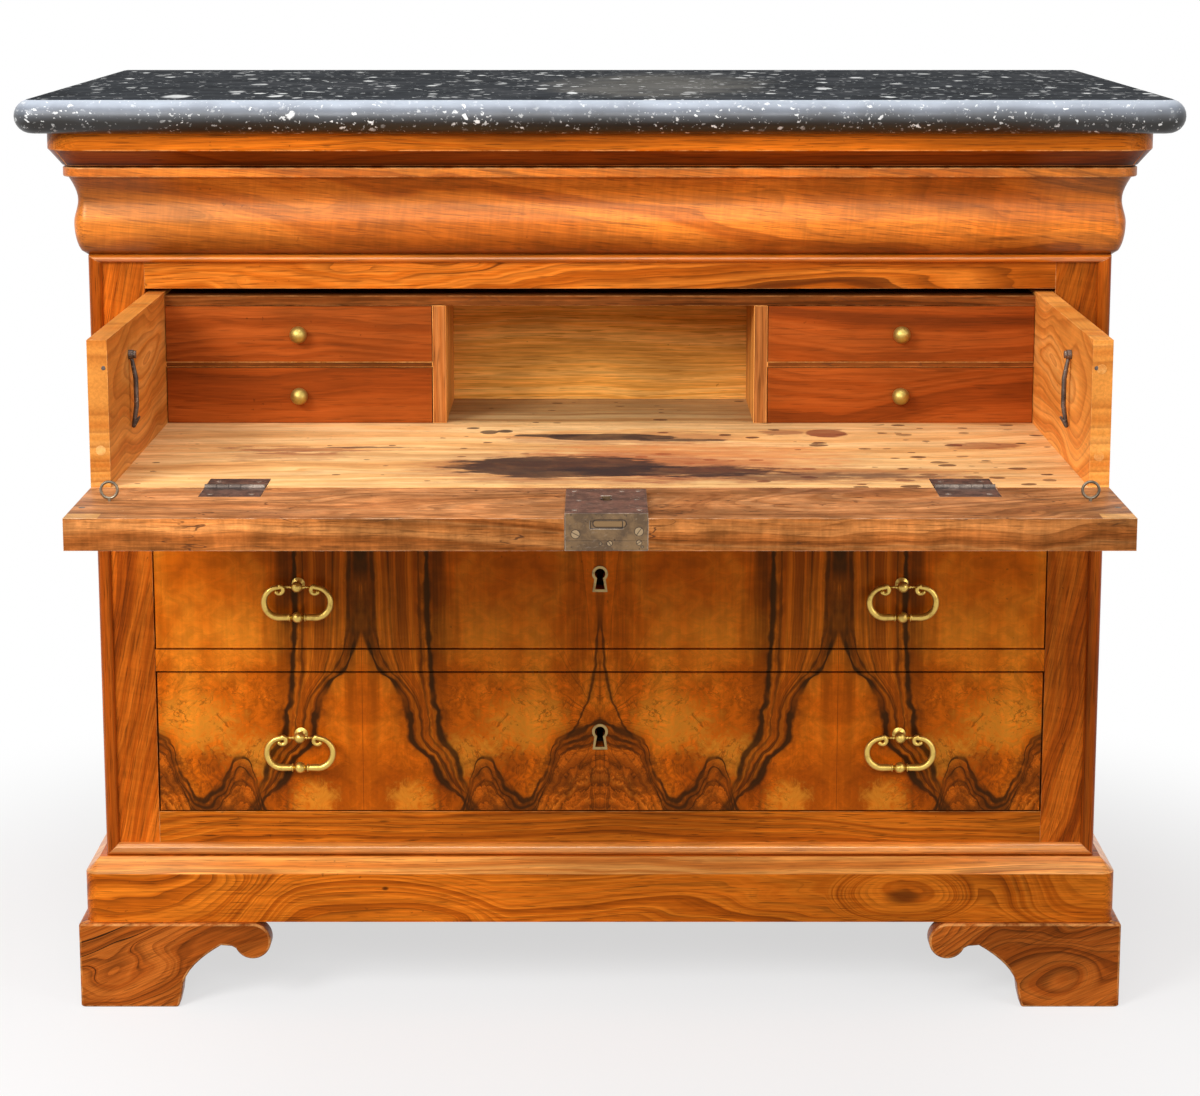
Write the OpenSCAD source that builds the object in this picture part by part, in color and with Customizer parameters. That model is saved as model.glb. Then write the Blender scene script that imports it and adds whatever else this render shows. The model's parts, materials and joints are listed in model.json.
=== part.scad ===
// Secretary chest: a chest of drawers with a marble top, an ogee frieze drawer, a writing drawer
// whose front falls as a flap, and two long drawers. X runs to the right, the front faces -Y, Z is up.
// Each module is drawn with the front plane of the carcase at y = 0 and the floor at z = 0, and placed()
// moves it so that the middle of the whole depth is y = 0.
// At rest the writing drawer is pulled out and its flap lies open.

/* [Carcase] */
// Width of the carcase over its side panels
carcase_w = 1130; // [1000:10:1300]
// Depth of the carcase from its front plane to the back
carcase_d = 592; // [540:4:700]
// Width of the stiles
stile_w = 61; // [45:1:80]
// Thickness of stiles and drawer rails
frame_t = 28; // [22:1:34]
// Thickness of the side panels
side_t = 22; // [16:1:28]
// Thickness of the back panel
back_t = 12; // [8:1:16]
// Depth of the drawer rails from front to back
rail_d = 62; // [50:1:90]
// Height of the bottom rail
bottom_rail_h = 51; // [40:1:70]
// Height of each rail between two drawers
rail_h = 26; // [20:1:36]
// Height of the top rail that shows
top_rail_h = 29; // [20:1:40]
// Thickness of the deck under the frieze drawer
deck_t = 9; // [7:1:14]
// Height of the opening of the lower drawer
lower_open_h = 165; // [140:1:200]
// Height of the opening of the middle drawer
middle_open_h = 165; // [140:1:200]
// Height of the opening of the writing drawer
writing_open_h = 220; // [210:1:240]

/* [Mouldings] */
// Width of the half round bead round the front
bead_w = 15; // [10:1:20]
// How far the bead stands out
bead_out = 7.5; // [5:0.5:9]
// Height of the ogee frieze with its lip
frieze_h = 98; // [80:1:120]
// Height of the lip on top of the ogee
lip_h = 11; // [8:1:16]
// How far the lip stands out
lip_out = 25; // [18:1:32]
// How far the belly of the ogee stands out
belly_out = 14; // [10:1:17]
// How far the hollow of the ogee stands out
hollow_out = 9; // [6:1:9.5]
// Height of the sloped part of the cornice
slope_h = 15; // [10:1:20]
// Height of the flat face of the cornice
fascia_h = 22; // [16:1:30]
// How far the cornice stands out
cornice_out = 41; // [36:1:48]
// Width of the cornice frame on the panels
cornice_in = 30; // [24:1:50]
// Radius of the turned corners of the frieze's lip
turn_r = 27; // [26:1:30]

/* [Marble] */
// Thickness of the marble slab
marble_t = 37; // [25:1:45]
// How far the marble stands out
marble_out = 68; // [55:1:76]
// How far the marble runs past the back
marble_back = 6; // [0:1:20]
// Radius of the slab's front corners seen from above
marble_turn_r = 26; // [22:1:60]

/* [Base] */
// Height of the bracket feet
foot_h = 100; // [80:1:130]
// Height of the flat face of the plinth
plinth_h = 57; // [45:1:70]
// Height of the plinth's bevel
bevel_h = 16; // [10:1:20]
// How far the plinth stands out
plinth_out = 23; // [16:1:27]
// How far the feet stand out
foot_out = 30; // [24:1:34]
// Thickness of the foot boards
foot_t = 23; // [18:1:28]
// Length of a foot on the floor
foot_len = 112; // [90:1:140]
// Length of the curved wing of a foot
wing_len = 86; // [80:1:100]
// Side of the glue blocks behind the feet
block_w = 42; // [30:1:60]

/* [Long drawers] */
// Thickness of the drawer fronts
front_t = 22; // [18:1:26]
// Thickness of the drawer sides
drawer_t = 12; // [9:1:16]
// Thickness of the drawer bottoms
floor_t = 8; // [5:1:12]
// Room behind the drawer boxes
box_room = 58; // [30:2:120]
// Gap round a drawer front
front_gap = 1.5; // [1:0.1:2.5]
// Height of the handle pins below the top of the middle drawer opening
middle_pin_drop = 89; // [70:1:100]
// Height of the handle pins below the top of the lower drawer opening
lower_pin_drop = 73; // [60:1:100]
// Distance of the handles from the middle
handle_x = 340; // [250:5:420]
// Height of the middle key plate below the top of its opening
middle_key_drop = 83; // [70:1:95]
// Height of the lower key plate below the top of its opening
lower_key_drop = 76; // [65:1:95]

/* [Writing drawer] */
// How far the writing drawer is pulled out at rest
pulled = 370; // [330:5:380]
// Height of the writing surface above its opening's foot
writing_rise = 69; // [66:1:75]
// Thickness of the writing board
writing_t = 18; // [16:0.5:20]
// Thickness of the flap
flap_t = 31; // [30:0.5:34]
// Thickness of the side boards
side_board_t = 20; // [16:1:22]
// Height of the side boards over the writing surface
side_board_h = 147; // [135:1:148]
// Depth of the fitting behind the writing surface
fitting_d = 160; // [130:5:165]
// Clear width of the central compartment
middle_w = 342; // [280:2:400]
// Thickness of the fitting's dividers
divider_t = 15; // [10:1:18]
// Height of a small drawer's opening
small_open_h = 63; // [55:1:64]
// Thickness of the shelf between small drawers
shelf_t = 6; // [5:1:9]
// Thickness of the fitting's top board
fitting_top_t = 11; // [8:1:12]
// Thickness of the small drawers' sides
small_t = 7; // [5:1:9]
// Clear gap between a small drawer and its opening
small_gap = 0.7; // [0.4:0.1:1]

/* [Fittings] */
// Reach of a handle from the drawer front
handle_reach = 16; // [13:1:20]
// Half the span of the bail between the turns of its arcs
bail_half = 20; // [17:0.5:26]
// Radius of the big arcs of the bail
bail_r = 18; // [15:0.5:20]
// Radius of the bail's round bar
bar_r = 3; // [2.4:0.1:3.4]
// Radius of the small scrolls of the bail
scroll_r = 4.3; // [3.6:0.1:4.8]
// Radius of the balls of the handles
ball_r = 6.4; // [5.5:0.1:7.5]
// Radius of the bail's pin
pin_r = 1.2; // [1:0.1:1.6]
// Radial clearance of every pin in its bore
pin_gap = 0.08; // [0.04:0.01:0.1]
// Radius of a small drawer's knob
knob_r = 9.5; // [7:0.5:12]
// Reach of a small drawer's knob
knob_reach = 17; // [13:1:22]
// Travel of every lock bolt
bolt_travel = 8; // [5:0.5:9]
// Width of the flap's lock
lock_w = 78; // [60:1:90]
// Length of the flap's lock
lock_len = 118; // [90:1:130]
// Distance of the flap's keyhole from its free edge
flap_key_drop = 72; // [60:1:85]
// Place of the flap's lock to the right of the middle
lock_x = 6; // [-10:1:10]
// How far the flap's lock stands proud of the wood
lock_proud = 5; // [3:0.5:7]
// Distance of the back flap hinges from the middle
hinge_x = 360; // [250:5:400]
// Width of a back flap hinge
hinge_w = 60; // [45:1:75]
// Length of each hinge leaf
leaf_len = 46; // [34:1:55]
// Thickness of each hinge leaf
leaf_t = 2; // [1.5:0.1:2.5]
// Radius of the hinge knuckle
knuckle_r = 3.5; // [3.2:0.1:4.5]
// Distance of the screw eyes from the hinge line
eye_reach = 67; // [50:1:90]
// Outer radius of a screw eye
eye_r = 9.4; // [7:0.1:10]
// Length of the stay hooks from pin to foot
hook_len = 74; // [60:1:85]
// Height of the stay hooks' pins over the writing surface
hook_pin_h = 114; // [100:1:125]
// Distance of the stay hooks behind the hinge line
hook_back = 125; // [90:1:160]

/* [Hidden] */
$fn = 48;

// Colours as the photograph shows them
walnut = [0.72, 0.38, 0.14];
burr = [0.56, 0.27, 0.10];
inner_wood = [0.50, 0.24, 0.11];
pale_wood = [0.82, 0.60, 0.36];
brass = [0.80, 0.66, 0.30];
iron = [0.24, 0.20, 0.18];

// Clearances
seat_gap = 0.3;
run_gap = 1;
glue = 0.1;
lip_gap = 0.3;
big = 2000;
eps = 0.01;

// Heights from the floor up
plinth_z = foot_h;
bevel_z = plinth_z + plinth_h;
base_z = bevel_z + bevel_h;
lower_z = base_z + bottom_rail_h;
middle_rail_z = lower_z + lower_open_h;
middle_z = middle_rail_z + rail_h;
writing_rail_z = middle_z + middle_open_h;
writing_z = writing_rail_z + rail_h;
top_rail_z = writing_z + writing_open_h;
deck_z = top_rail_z + top_rail_h;
frieze_z = deck_z + deck_t;
frieze_gap = 0.4;
lip_z = frieze_z + frieze_h - lip_h;
cornice_z = frieze_z + frieze_h + front_gap;
fascia_z = cornice_z + slope_h;
marble_z = fascia_z + fascia_h;
belly_at = 0.4;
hollow_at = 0.7;
lip_step = 6;

// Plan of the carcase
half_w = carcase_w / 2;
half_open = half_w - stile_w;
inner_w = half_w - side_t;
back_y = carcase_d - back_t;
frieze_inset = turn_r - lip_out;
plinth_inset = 0.5 - bead_out;
frieze_back = front_t + 4;
box_d = back_y - front_t - box_room;

// Writing drawer
axis_y = -pulled;
surface_z = writing_z + writing_rise;
drawer_half = half_open - front_gap;
flap_half = half_open - front_gap;
flap_len = top_rail_z - front_gap - surface_z;
lip_len = writing_rise - front_gap;
lip_top = writing_t + lip_gap;
writing_travel = pulled + flap_t;
writing_back_y = back_y - writing_travel - 4;
side_board_in = drawer_half - side_board_t;
fitting_back = min(fitting_d, writing_back_y - drawer_t);
divider_x = middle_w / 2;
stack_x0 = divider_x + divider_t;
stack_w = side_board_in - stack_x0;
small_d = fitting_back - 6;
small_front_t = 12;
knob_stem_r = 3;
shelf_z = surface_z + small_open_h;
upper_z = shelf_z + shelf_t;
fitting_top_z = upper_z + small_open_h;
under_y = axis_y + sqrt(pow(lip_len, 2) + pow(flap_t, 2)) + 3;

// Locks of the long drawers
case_w = 70;
case_t = 14;
case_foot = 14;
bolt_w = 30;
bolt_t = 7;
bolt_gap = 0.3;
bolt_len = 30;
bolt_y = front_t + case_t / 2;
key_r = 6;
key_up = 6;
key_waist = 5;
key_foot = 11;
key_low = 12;
key_rim = 3;
plate_t = 1.8;

// Handles
pin_y = -handle_reach;
bail_drop = 2 * bail_r - 1;
bail_top = 2 * bail_r - bail_drop;
bar_sides = 12;
scroll_bar_r = 1.9;
eye_bar_r = 1.4;
post_r = 2.5;
hook_bar_r = 2.6;
hook_eye_r = 5;
hook_pin_r = 2;
hook_eye_t = 4.4;
hook_stand = 0.5;
hook_bow = 3.5;
pin_depth = 12;
hinge_pin_r = 1.4;

// Flap fittings
flap_front = axis_y - flap_len;
flap_bolt_drop = 6;
flap_bolt_z = surface_z - flap_bolt_drop;
lock_depth = 16;
edge_plate_t = 2.5;
eye_x = side_board_in - eye_r - 0.6;
eye_shank = 13.5;
eye_shank_r = 1.5;

// Runners
runner_t = 18;
runner_in = 22;
guide_h = 20;
kicker_z = surface_z + side_board_h + 1;
block_rise = 2;
middle_top = middle_z + middle_open_h;
lower_top = lower_z + lower_open_h;

// Basic shapes

// Moves a finished module into the frame of the whole part
module placed()
    translate([0, -(flap_front + carcase_d + marble_back) / 2, 0]) children();

module board(x0, x1, y0, y1, z0, z1)
    translate([x0, y0, z0]) cube([x1 - x0, y1 - y0, z1 - z0]);

module both_sides() {
    children();
    mirror([1, 0, 0]) children();
}

// Extrudes a shape drawn in X and Z along Y
module along_y(y0, y1)
    translate([0, y1, 0]) rotate([90, 0, 0]) linear_extrude(y1 - y0) children();

// Extrudes a shape drawn in Y and Z along X
module along_x(x0, x1)
    translate([x0, 0, 0]) rotate([90, 0, 90]) linear_extrude(x1 - x0) children();

// A cylinder along X
module rod_x(x0, x1, y, z, r)
    translate([x0, y, z]) rotate([0, 90, 0]) cylinder(r = r, h = x1 - x0);

// A cylinder along Y
module rod_y(x, y0, y1, z, r)
    translate([x, y1, z]) rotate([90, 0, 0]) cylinder(r = r, h = y1 - y0);

// A slab whose front and side edges follow one outline of [outset, height] points,
// with front corners turned about a centre that lies inset from both faces
module edge_slab(outline, inset, depth) {
    low = outline[0][1];
    high = outline[len(outline) - 1][1];
    cx = half_w - inset;
    along_x(-cx, cx)
        polygon(concat([for (p = outline) [-p[0], p[1]]], [[depth, high], [depth, low]]));
    both_sides() {
        along_y(inset, depth)
            polygon(concat([[cx, low]], [for (p = outline) [half_w + p[0], p[1]]], [[cx, high]]));
        translate([cx, inset, 0]) rotate([0, 0, -90]) rotate_extrude(angle = 90)
            polygon(concat([[0, low]], [for (p = outline) [inset + p[0], p[1]]], [[0, high]]));
    }
}

// Cuts a frame into a front piece and two side pieces that meet in mitres, with a glue line between them
module mitred(z0, z1) {
    reach = half_w + 2 * marble_out;
    cut = glue * sqrt(2);
    intersection() {
        children();
        translate([0, 0, z0]) linear_extrude(z1 - z0)
            polygon([[0, half_w - cut], [-reach, half_w - reach - cut], [reach, half_w - reach - cut]]);
    }
    both_sides() intersection() {
        children();
        translate([0, 0, z0]) linear_extrude(z1 - z0)
            polygon([[0, half_w], [reach, half_w - reach], [reach, big], [0, big]]);
    }
}

// Outlines of the mouldings, as points of outset and height

// Points of an arc round c with the radius r, in n steps from the angle a0 to a1
function arc_points(c, r, a0, a1, n) =
    [for (i = [0:n]) [c[0] + r * cos(a0 + (a1 - a0) * i / n), c[1] + r * sin(a0 + (a1 - a0) * i / n)]];

function marble_outline() =
    let (r = marble_t / 2)
    arc_points([marble_out - r, marble_z + r], r, -90, 90, 12);

function cornice_outline() = [
    [lip_out, cornice_z],
    [cornice_out - 3, fascia_z],
    [cornice_out, fascia_z + 3],
    [cornice_out, marble_z]
];

// The ogee rounds up from the carcase to its belly, sinks to its hollow and flares to the lip
function ogee_out(t) =
    t < belly_at ? belly_out * sqrt(1 - pow(1 - t / belly_at, 2))
    : t < hollow_at
        ? hollow_out + (belly_out - hollow_out) * (1 + cos(180 * (t - belly_at) / (hollow_at - belly_at))) / 2
    : hollow_out + (lip_out - lip_step - hollow_out) * (1 - cos(90 * (t - hollow_at) / (1 - hollow_at)));

function ogee_outline(foot_z) = concat(
    [for (i = [0:20]) [0.6 + ogee_out(i / 20), foot_z + (lip_z - foot_z) * i / 20]],
    [[lip_out - 1, lip_z], [lip_out, lip_z + 1], [lip_out, lip_z + lip_h - 1], [lip_out - 1, lip_z + lip_h]]
);

function plinth_outline() = [
    [plinth_out, plinth_z],
    [plinth_out, bevel_z],
    [plinth_out - 4, bevel_z + 4],
    [bead_out, base_z]
];

// Carcase

module marble_top()
    color([0.13, 0.13, 0.14]) edge_slab(marble_outline(), marble_turn_r - marble_out, carcase_d + marble_back);

module cornice()
    color(walnut) mitred(cornice_z, marble_z) difference() {
        edge_slab(cornice_outline(), frieze_inset, carcase_d);
        board(-half_w + cornice_in, half_w - cornice_in, cornice_in, big, cornice_z - 1, marble_z + 1);
    }

// The frame that ties the panels over the frieze drawer, and the batten that carries the marble behind
module top_frame()
    color(inner_wood) {
        board(-inner_w, inner_w, frieze_back + run_gap, back_y, cornice_z - deck_t, cornice_z);
        board(-half_w + cornice_in + seat_gap, half_w - cornice_in - seat_gap, back_y - 60, back_y,
            cornice_z + glue, marble_z);
    }

module frieze_returns()
    color(walnut) both_sides() along_y(frieze_back + 0.5, carcase_d)
        polygon(concat([[half_w, frieze_z]],
            [for (p = ogee_outline(frieze_z)) [half_w + p[0], p[1]]],
            [[half_w, lip_z + lip_h]]));

// Half round bead, mitred at the four corners with a glue line in each mitre
module bead_frame()
    color(walnut) {
        low = base_z;
        high = frieze_z;
        top_in = high - deck_t;
        intersection() {
            along_x(-half_w, half_w) bead_outline(low, bead_w);
            along_y(-bead_out - 1, 0)
                polygon([[-half_w, low], [half_w, low], [half_w - bead_w, low + bead_w],
                    [bead_w - half_w, low + bead_w]]);
        }
        intersection() {
            along_x(-half_w, half_w) bead_outline(top_in, deck_t);
            along_y(-bead_out - 1, 0)
                polygon([[-half_w, high], [half_w, high], [half_w - bead_w, top_in], [bead_w - half_w, top_in]]);
        }
        both_sides() intersection() {
            translate([half_w - bead_w / 2, 0, low]) linear_extrude(high - low)
                polygon([for (p = arc_points([0, 0], 1, 180, 360, 12)) [p[0] * bead_w / 2, p[1] * bead_out]]);
            along_y(-bead_out - 1, 0)
                polygon([[half_w, low + glue], [half_w - bead_w, low + bead_w + glue],
                    [half_w - bead_w, top_in - glue], [half_w, high - glue]]);
        }
    }

// Half round bead seen from its end, standing out to -Y between two heights
module bead_outline(z, w)
    polygon([for (p = arc_points([0, 0], 1, 90, 270, 12)) [p[0] * bead_out, z + w / 2 + p[1] * w / 2]]);

module stiles()
    color(walnut) both_sides() board(half_open, half_w, 0, frame_t, base_z, frieze_z);

module top_rail()
    color(walnut) difference() {
        board(-half_open, half_open, 0, rail_d, top_rail_z, frieze_z);
        board(lock_x - bolt_w / 2 - 1, lock_x + bolt_w / 2 + 1,
            flap_t - flap_bolt_drop - bolt_t / 2 - 1, flap_t - flap_bolt_drop + bolt_t / 2 + 1,
            top_rail_z - 1, top_rail_z + bolt_travel + 4);
    }

// A rail between drawers with the mortise that takes the bolt from below
module drawer_rail(z)
    color(walnut) difference() {
        board(-half_open, half_open, 0, rail_d, z, z + rail_h);
        board(-bolt_w / 2 - 1, bolt_w / 2 + 1, bolt_y - bolt_t / 2 - 1, bolt_y + bolt_t / 2 + 1,
            z - 1, z + bolt_travel + 4);
    }

module writing_rail() drawer_rail(writing_rail_z);

module middle_rail() drawer_rail(middle_rail_z);

module bottom_rail()
    color(walnut) board(-half_open, half_open, 0, rail_d, base_z, lower_z);

module side_panel()
    color(walnut) board(inner_w, half_w, frame_t, back_y, base_z, cornice_z);

module side_panel_right() side_panel();

module side_panel_left() mirror([1, 0, 0]) side_panel();

module back_panel()
    color(inner_wood) board(-half_w, half_w, back_y, carcase_d, base_z, cornice_z);

module frieze_deck()
    color(inner_wood) board(-inner_w, inner_w, rail_d, back_y, deck_z, frieze_z);

// A runner under a drawer's side, with the guide that keeps the drawer straight
module runner(z)
    both_sides() {
        board(half_open - runner_in, inner_w, rail_d, back_y, z - runner_t, z);
        board(half_open, inner_w, rail_d, back_y, z + glue, z + guide_h);
    }

module drawer_runners()
    color(inner_wood) {
        runner(lower_z);
        runner(middle_z);
        runner(writing_z);
        both_sides() board(side_board_in, inner_w, rail_d, back_y, kicker_z, deck_z);
    }

module bottom_board()
    color(inner_wood) board(-inner_w + seat_gap, inner_w - seat_gap, frame_t + seat_gap, back_y, bevel_z, base_z);

module plinth()
    color(walnut) {
        mitred(plinth_z, base_z) difference() {
            edge_slab(plinth_outline(), plinth_inset, carcase_d);
            board(-inner_w, inner_w, frame_t, big, plinth_z - 1, base_z + 1);
        }
        board(glue - inner_w, inner_w - glue, carcase_d - frame_t, carcase_d, plinth_z, bevel_z);
    }

// Feet

// Front view of a bracket foot, drawn from its outer lower corner: a block whose inner edge
// sweeps up to a nib, and a scroll that hangs from the plinth
module foot_shape() {
    scroll_r = 21;
    scroll_x = foot_len + wing_len;
    step = foot_h / 100;
    polygon(concat(
        [[0, 0], [foot_len, 0]],
        [for (i = [0:8]) let (t = i / 8) [
            foot_len + 4 + (wing_len - 40) * pow(t, 1.6),
            step * (16 + 58 * pow(t, 0.75))
        ]],
        [[scroll_x - 24, step * 73], [scroll_x, step * 60], [scroll_x, foot_h], [0, foot_h]]
    ));
    intersection() {
        translate([scroll_x, foot_h - scroll_r]) circle(r = scroll_r);
        translate([scroll_x - 2 * scroll_r, 0]) square([4 * scroll_r, foot_h]);
    }
}

// A front foot on the left: a front board and a side board, mitred at the corner
module foot_front() {
    out = half_w + foot_out;
    color(walnut) {
        intersection() {
            translate([-out, foot_t - foot_out, 0]) rotate([90, 0, 0]) linear_extrude(foot_t) foot_shape();
            linear_extrude(foot_h)
                polygon([[-out, -foot_out], [0, -foot_out], [0, foot_t - foot_out], [foot_t - out, foot_t - foot_out]]);
        }
        intersection() {
            translate([-out, -foot_out, 0]) rotate([90, 0, 90]) linear_extrude(foot_t) foot_shape();
            linear_extrude(foot_h)
                polygon([[-out, glue - foot_out], [foot_t - out, foot_t + glue - foot_out],
                    [foot_t - out, big], [-out, big]]);
        }
    }
}

module foot_front_left() foot_front();

module foot_front_right() mirror([1, 0, 0]) foot_front();

module foot_rear() {
    out = half_w + foot_out;
    color(walnut) {
        translate([-out, carcase_d, 0]) rotate([90, 0, -90]) mirror([0, 0, 1])
            linear_extrude(foot_t) foot_shape();
        board(foot_t - out + glue, foot_t - out + foot_len, carcase_d - foot_t, carcase_d, 0, foot_h);
    }
}

module foot_rear_left() foot_rear();

module foot_rear_right() mirror([1, 0, 0]) foot_rear();

module glue_blocks()
    color(pale_wood) both_sides() {
        x = half_w + foot_out - foot_t;
        board(x - block_w, x, foot_t - foot_out, foot_t - foot_out + block_w, block_rise, foot_h);
        board(x - block_w, x, carcase_d - foot_t - block_w, carcase_d - foot_t, block_rise, foot_h);
    }

// Frieze drawer

module frieze_front()
    color(walnut) edge_slab(ogee_outline(frieze_z + frieze_gap), frieze_inset, frieze_back);

module frieze_box() {
    low = frieze_z + frieze_gap;
    high = cornice_z - deck_t - run_gap;
    half = inner_w - run_gap;
    color(inner_wood) {
        drawer_sides(half, frieze_back, box_d, low, high, drawer_t);
        board(drawer_t + glue - half, half - drawer_t - glue, frieze_back,
            frieze_back + box_d - drawer_t - glue, low, low + floor_t);
    }
}

// Two sides and a back, as separate boards with a glue line between them
module drawer_sides(half, y0, length, low, high, t) {
    in = half - t - glue;
    both_sides() board(half - t, half, y0, y0 + length, low, high);
    board(-in, in, y0 + length - t, y0 + length, low, high);
}

// Writing drawer

module writing_board()
    color(pale_wood) difference() {
        board(-drawer_half, drawer_half, axis_y, writing_back_y, surface_z - writing_t, surface_z);
        both_sides() hinge_seat();
    }

// The cut in the wood that takes one leaf and the knuckle of a back flap hinge
module hinge_seat() {
    side = hinge_w / 2 + seat_gap;
    board(hinge_x - side, hinge_x + side, axis_y - eps, axis_y + leaf_len + seat_gap,
        surface_z - leaf_t - seat_gap, surface_z + 1);
    rod_x(hinge_x - side, hinge_x + side, axis_y, surface_z, knuckle_r + seat_gap);
}

module side_board()
    color(pale_wood) board(side_board_in, drawer_half, axis_y + seat_gap, writing_back_y - drawer_t,
        surface_z, surface_z + side_board_h);

module side_board_right() difference() {
    side_board();
    hook_pin_bore();
}

module side_board_left() mirror([1, 0, 0]) side_board_right();

module hook_pin_bore()
    rod_x(side_board_in - 1, side_board_in + pin_depth, axis_y + hook_back, surface_z + hook_pin_h,
        hook_pin_r + pin_gap);

module writing_frame()
    color(inner_wood) {
        both_sides() board(side_board_in, drawer_half, under_y, writing_back_y,
            writing_z + seat_gap, surface_z - writing_t);
        board(-drawer_half, drawer_half, writing_back_y - drawer_t, writing_back_y,
            surface_z, surface_z + side_board_h);
    }

module fitting_top()
    color(inner_wood) board(-side_board_in, side_board_in, 0, writing_back_y - drawer_t,
        fitting_top_z, fitting_top_z + fitting_top_t);

module fitting_partitions()
    color(inner_wood) both_sides() {
        board(divider_x, stack_x0, 0, writing_back_y - drawer_t, surface_z, fitting_top_z);
        board(stack_x0 + glue, side_board_in, 0, writing_back_y - drawer_t, shelf_z, upper_z);
    }

// One leaf of a back flap hinge with its share of the knuckle, lying behind the hinge line
module hinge_leaf(segments) {
    step = hinge_w / 5;
    board(hinge_x - hinge_w / 2, hinge_x + hinge_w / 2, knuckle_r + seat_gap, leaf_len, -leaf_t, 0);
    for (i = segments) {
        x = hinge_x - hinge_w / 2 + i * step;
        difference() {
            union() {
                rod_x(x + 0.15, x + step - 0.15, 0, 0, knuckle_r);
                board(x + 0.15, x + step - 0.15, 0, knuckle_r + 1, -leaf_t, 0);
            }
            rod_x(x - 1, x + step + 1, 0, 0, hinge_pin_r + pin_gap);
        }
    }
}

// The hinge leaves on the writing board and the pins of the stay hooks
module writing_board_irons()
    color(iron) both_sides() {
        translate([0, axis_y, surface_z]) hinge_leaf([0, 2, 4]);
        translate([side_board_in, axis_y + hook_back, surface_z + hook_pin_h]) rotate([0, -90, 0])
            translate([0, 0, -pin_depth]) {
                cylinder(r = hook_pin_r, h = pin_depth + hook_stand + hook_eye_t + 1);
                translate([0, 0, pin_depth + hook_stand + hook_eye_t + 0.6]) cylinder(r = hook_pin_r + 2, h = 2);
            }
    }

// A hook that hangs from its pin and bows away from the side board
module stay_hook() {
    x = side_board_in - hook_stand;
    y = axis_y + hook_back;
    z = surface_z + hook_pin_h;
    mid_x = x - hook_eye_t / 2 - 0.6;
    // Points of the bar from the eye to the tip, each with its radius
    line = [
        [mid_x, z - hook_eye_r, 2],
        [mid_x - hook_bow, z - hook_len * 0.33, hook_bar_r],
        [mid_x - hook_bow, z - hook_len * 0.72, hook_bar_r],
        [mid_x, z - hook_len, 2.2],
        [mid_x - 6, z - hook_len + 9, 1.2]
    ];
    color(iron) {
        difference() {
            rod_x(x - hook_eye_t, x, y, z, hook_eye_r);
            rod_x(x - hook_eye_t - 1, x + 1, y, z, hook_pin_r + pin_gap);
        }
        for (i = [0:len(line) - 2]) hull() {
            hook_ball(line[i], y);
            hook_ball(line[i + 1], y);
        }
    }
}

module hook_ball(p, y)
    translate([p[0], y, p[1]]) sphere(r = p[2], $fn = 20);

module stay_hook_right() stay_hook();

module stay_hook_left() mirror([1, 0, 0]) stay_hook();

// A small drawer on the right hand side, as separate boards
module small_drawer(z) {
    x0 = stack_x0 + small_gap;
    x1 = side_board_in - small_gap;
    low = z + seat_gap;
    high = z + small_open_h - small_gap;
    cx = (x0 + x1) / 2;
    color(inner_wood) {
        difference() {
            board(x0, x1, 0, small_front_t, low, high);
            rod_y(cx, -1, small_front_t + 1, (low + high) / 2, knob_stem_r + pin_gap);
        }
        translate([cx, 0, 0])
            drawer_sides((x1 - x0) / 2, small_front_t + glue, small_d - small_front_t, low, high - 2, small_t);
        board(x0 + small_t + glue, x1 - small_t - glue, small_front_t + glue, small_d - small_t, low, low + 4);
    }
}

module knob(z) {
    cx = (stack_x0 + side_board_in) / 2;
    mid = z + (small_open_h + seat_gap - small_gap) / 2;
    color(brass) {
        translate([cx, 0, mid]) rotate([90, 0, 0]) rotate_extrude()
            polygon(concat(
                [[0, 0], [7, 0], [7, 1.6], [3.4, 2.8], [3.2, 5]],
                arc_points([0, knob_reach - knob_r], knob_r, -10, 90, 12)
            ));
        rod_y(cx, -1, small_front_t, mid, knob_stem_r);
    }
}

module small_drawer_upper_right() small_drawer(upper_z);

module small_drawer_lower_right() small_drawer(surface_z);

module small_drawer_upper_left() mirror([1, 0, 0]) small_drawer(upper_z);

module small_drawer_lower_left() mirror([1, 0, 0]) small_drawer(surface_z);

module knob_upper_right() knob(upper_z);

module knob_lower_right() knob(surface_z);

module knob_upper_left() mirror([1, 0, 0]) knob(upper_z);

module knob_lower_left() mirror([1, 0, 0]) knob(surface_z);

// Flap, drawn open

module flap()
    color(walnut) difference() {
        union() {
            board(-flap_half, flap_half, flap_front, axis_y - seat_gap, surface_z - flap_t, surface_z);
            board(-flap_half, flap_half, axis_y - seat_gap - eps, axis_y + lip_len, surface_z - flap_t,
                surface_z - lip_top);
        }
        translate([0, 2 * axis_y, 0]) mirror([0, 1, 0]) both_sides() hinge_seat();
        lock_space(seat_gap);
        flap_keyhole();
        both_sides() translate([eye_x, axis_y - eye_reach, surface_z - eye_shank - 0.5])
            cylinder(r = eye_shank_r + pin_gap, h = eye_shank + 1);
    }

// A keyhole drawn in X and Z about its middle: a round hole over a slot that widens to its foot.
// With a rim it is the outline of the key plate round it.
module keyhole_shape(rim = 0) {
    translate([0, key_up]) circle(r = key_r + rim);
    polygon([
        [-key_waist / 2 - rim, key_up],
        [-key_foot / 2 - rim, -key_low - rim],
        [key_foot / 2 + rim, -key_low - rim],
        [key_waist / 2 + rim, key_up]
    ]);
}

// The keyhole of the flap, drawn open, so that the round hole lies nearer its free edge
module flap_keyhole()
    translate([lock_x, flap_front + flap_key_drop, 0]) mirror([0, 1, 0])
        translate([0, 0, surface_z - flap_t - plate_t - 1]) linear_extrude(flap_t + plate_t + lock_proud + 2)
            keyhole_shape();

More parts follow.
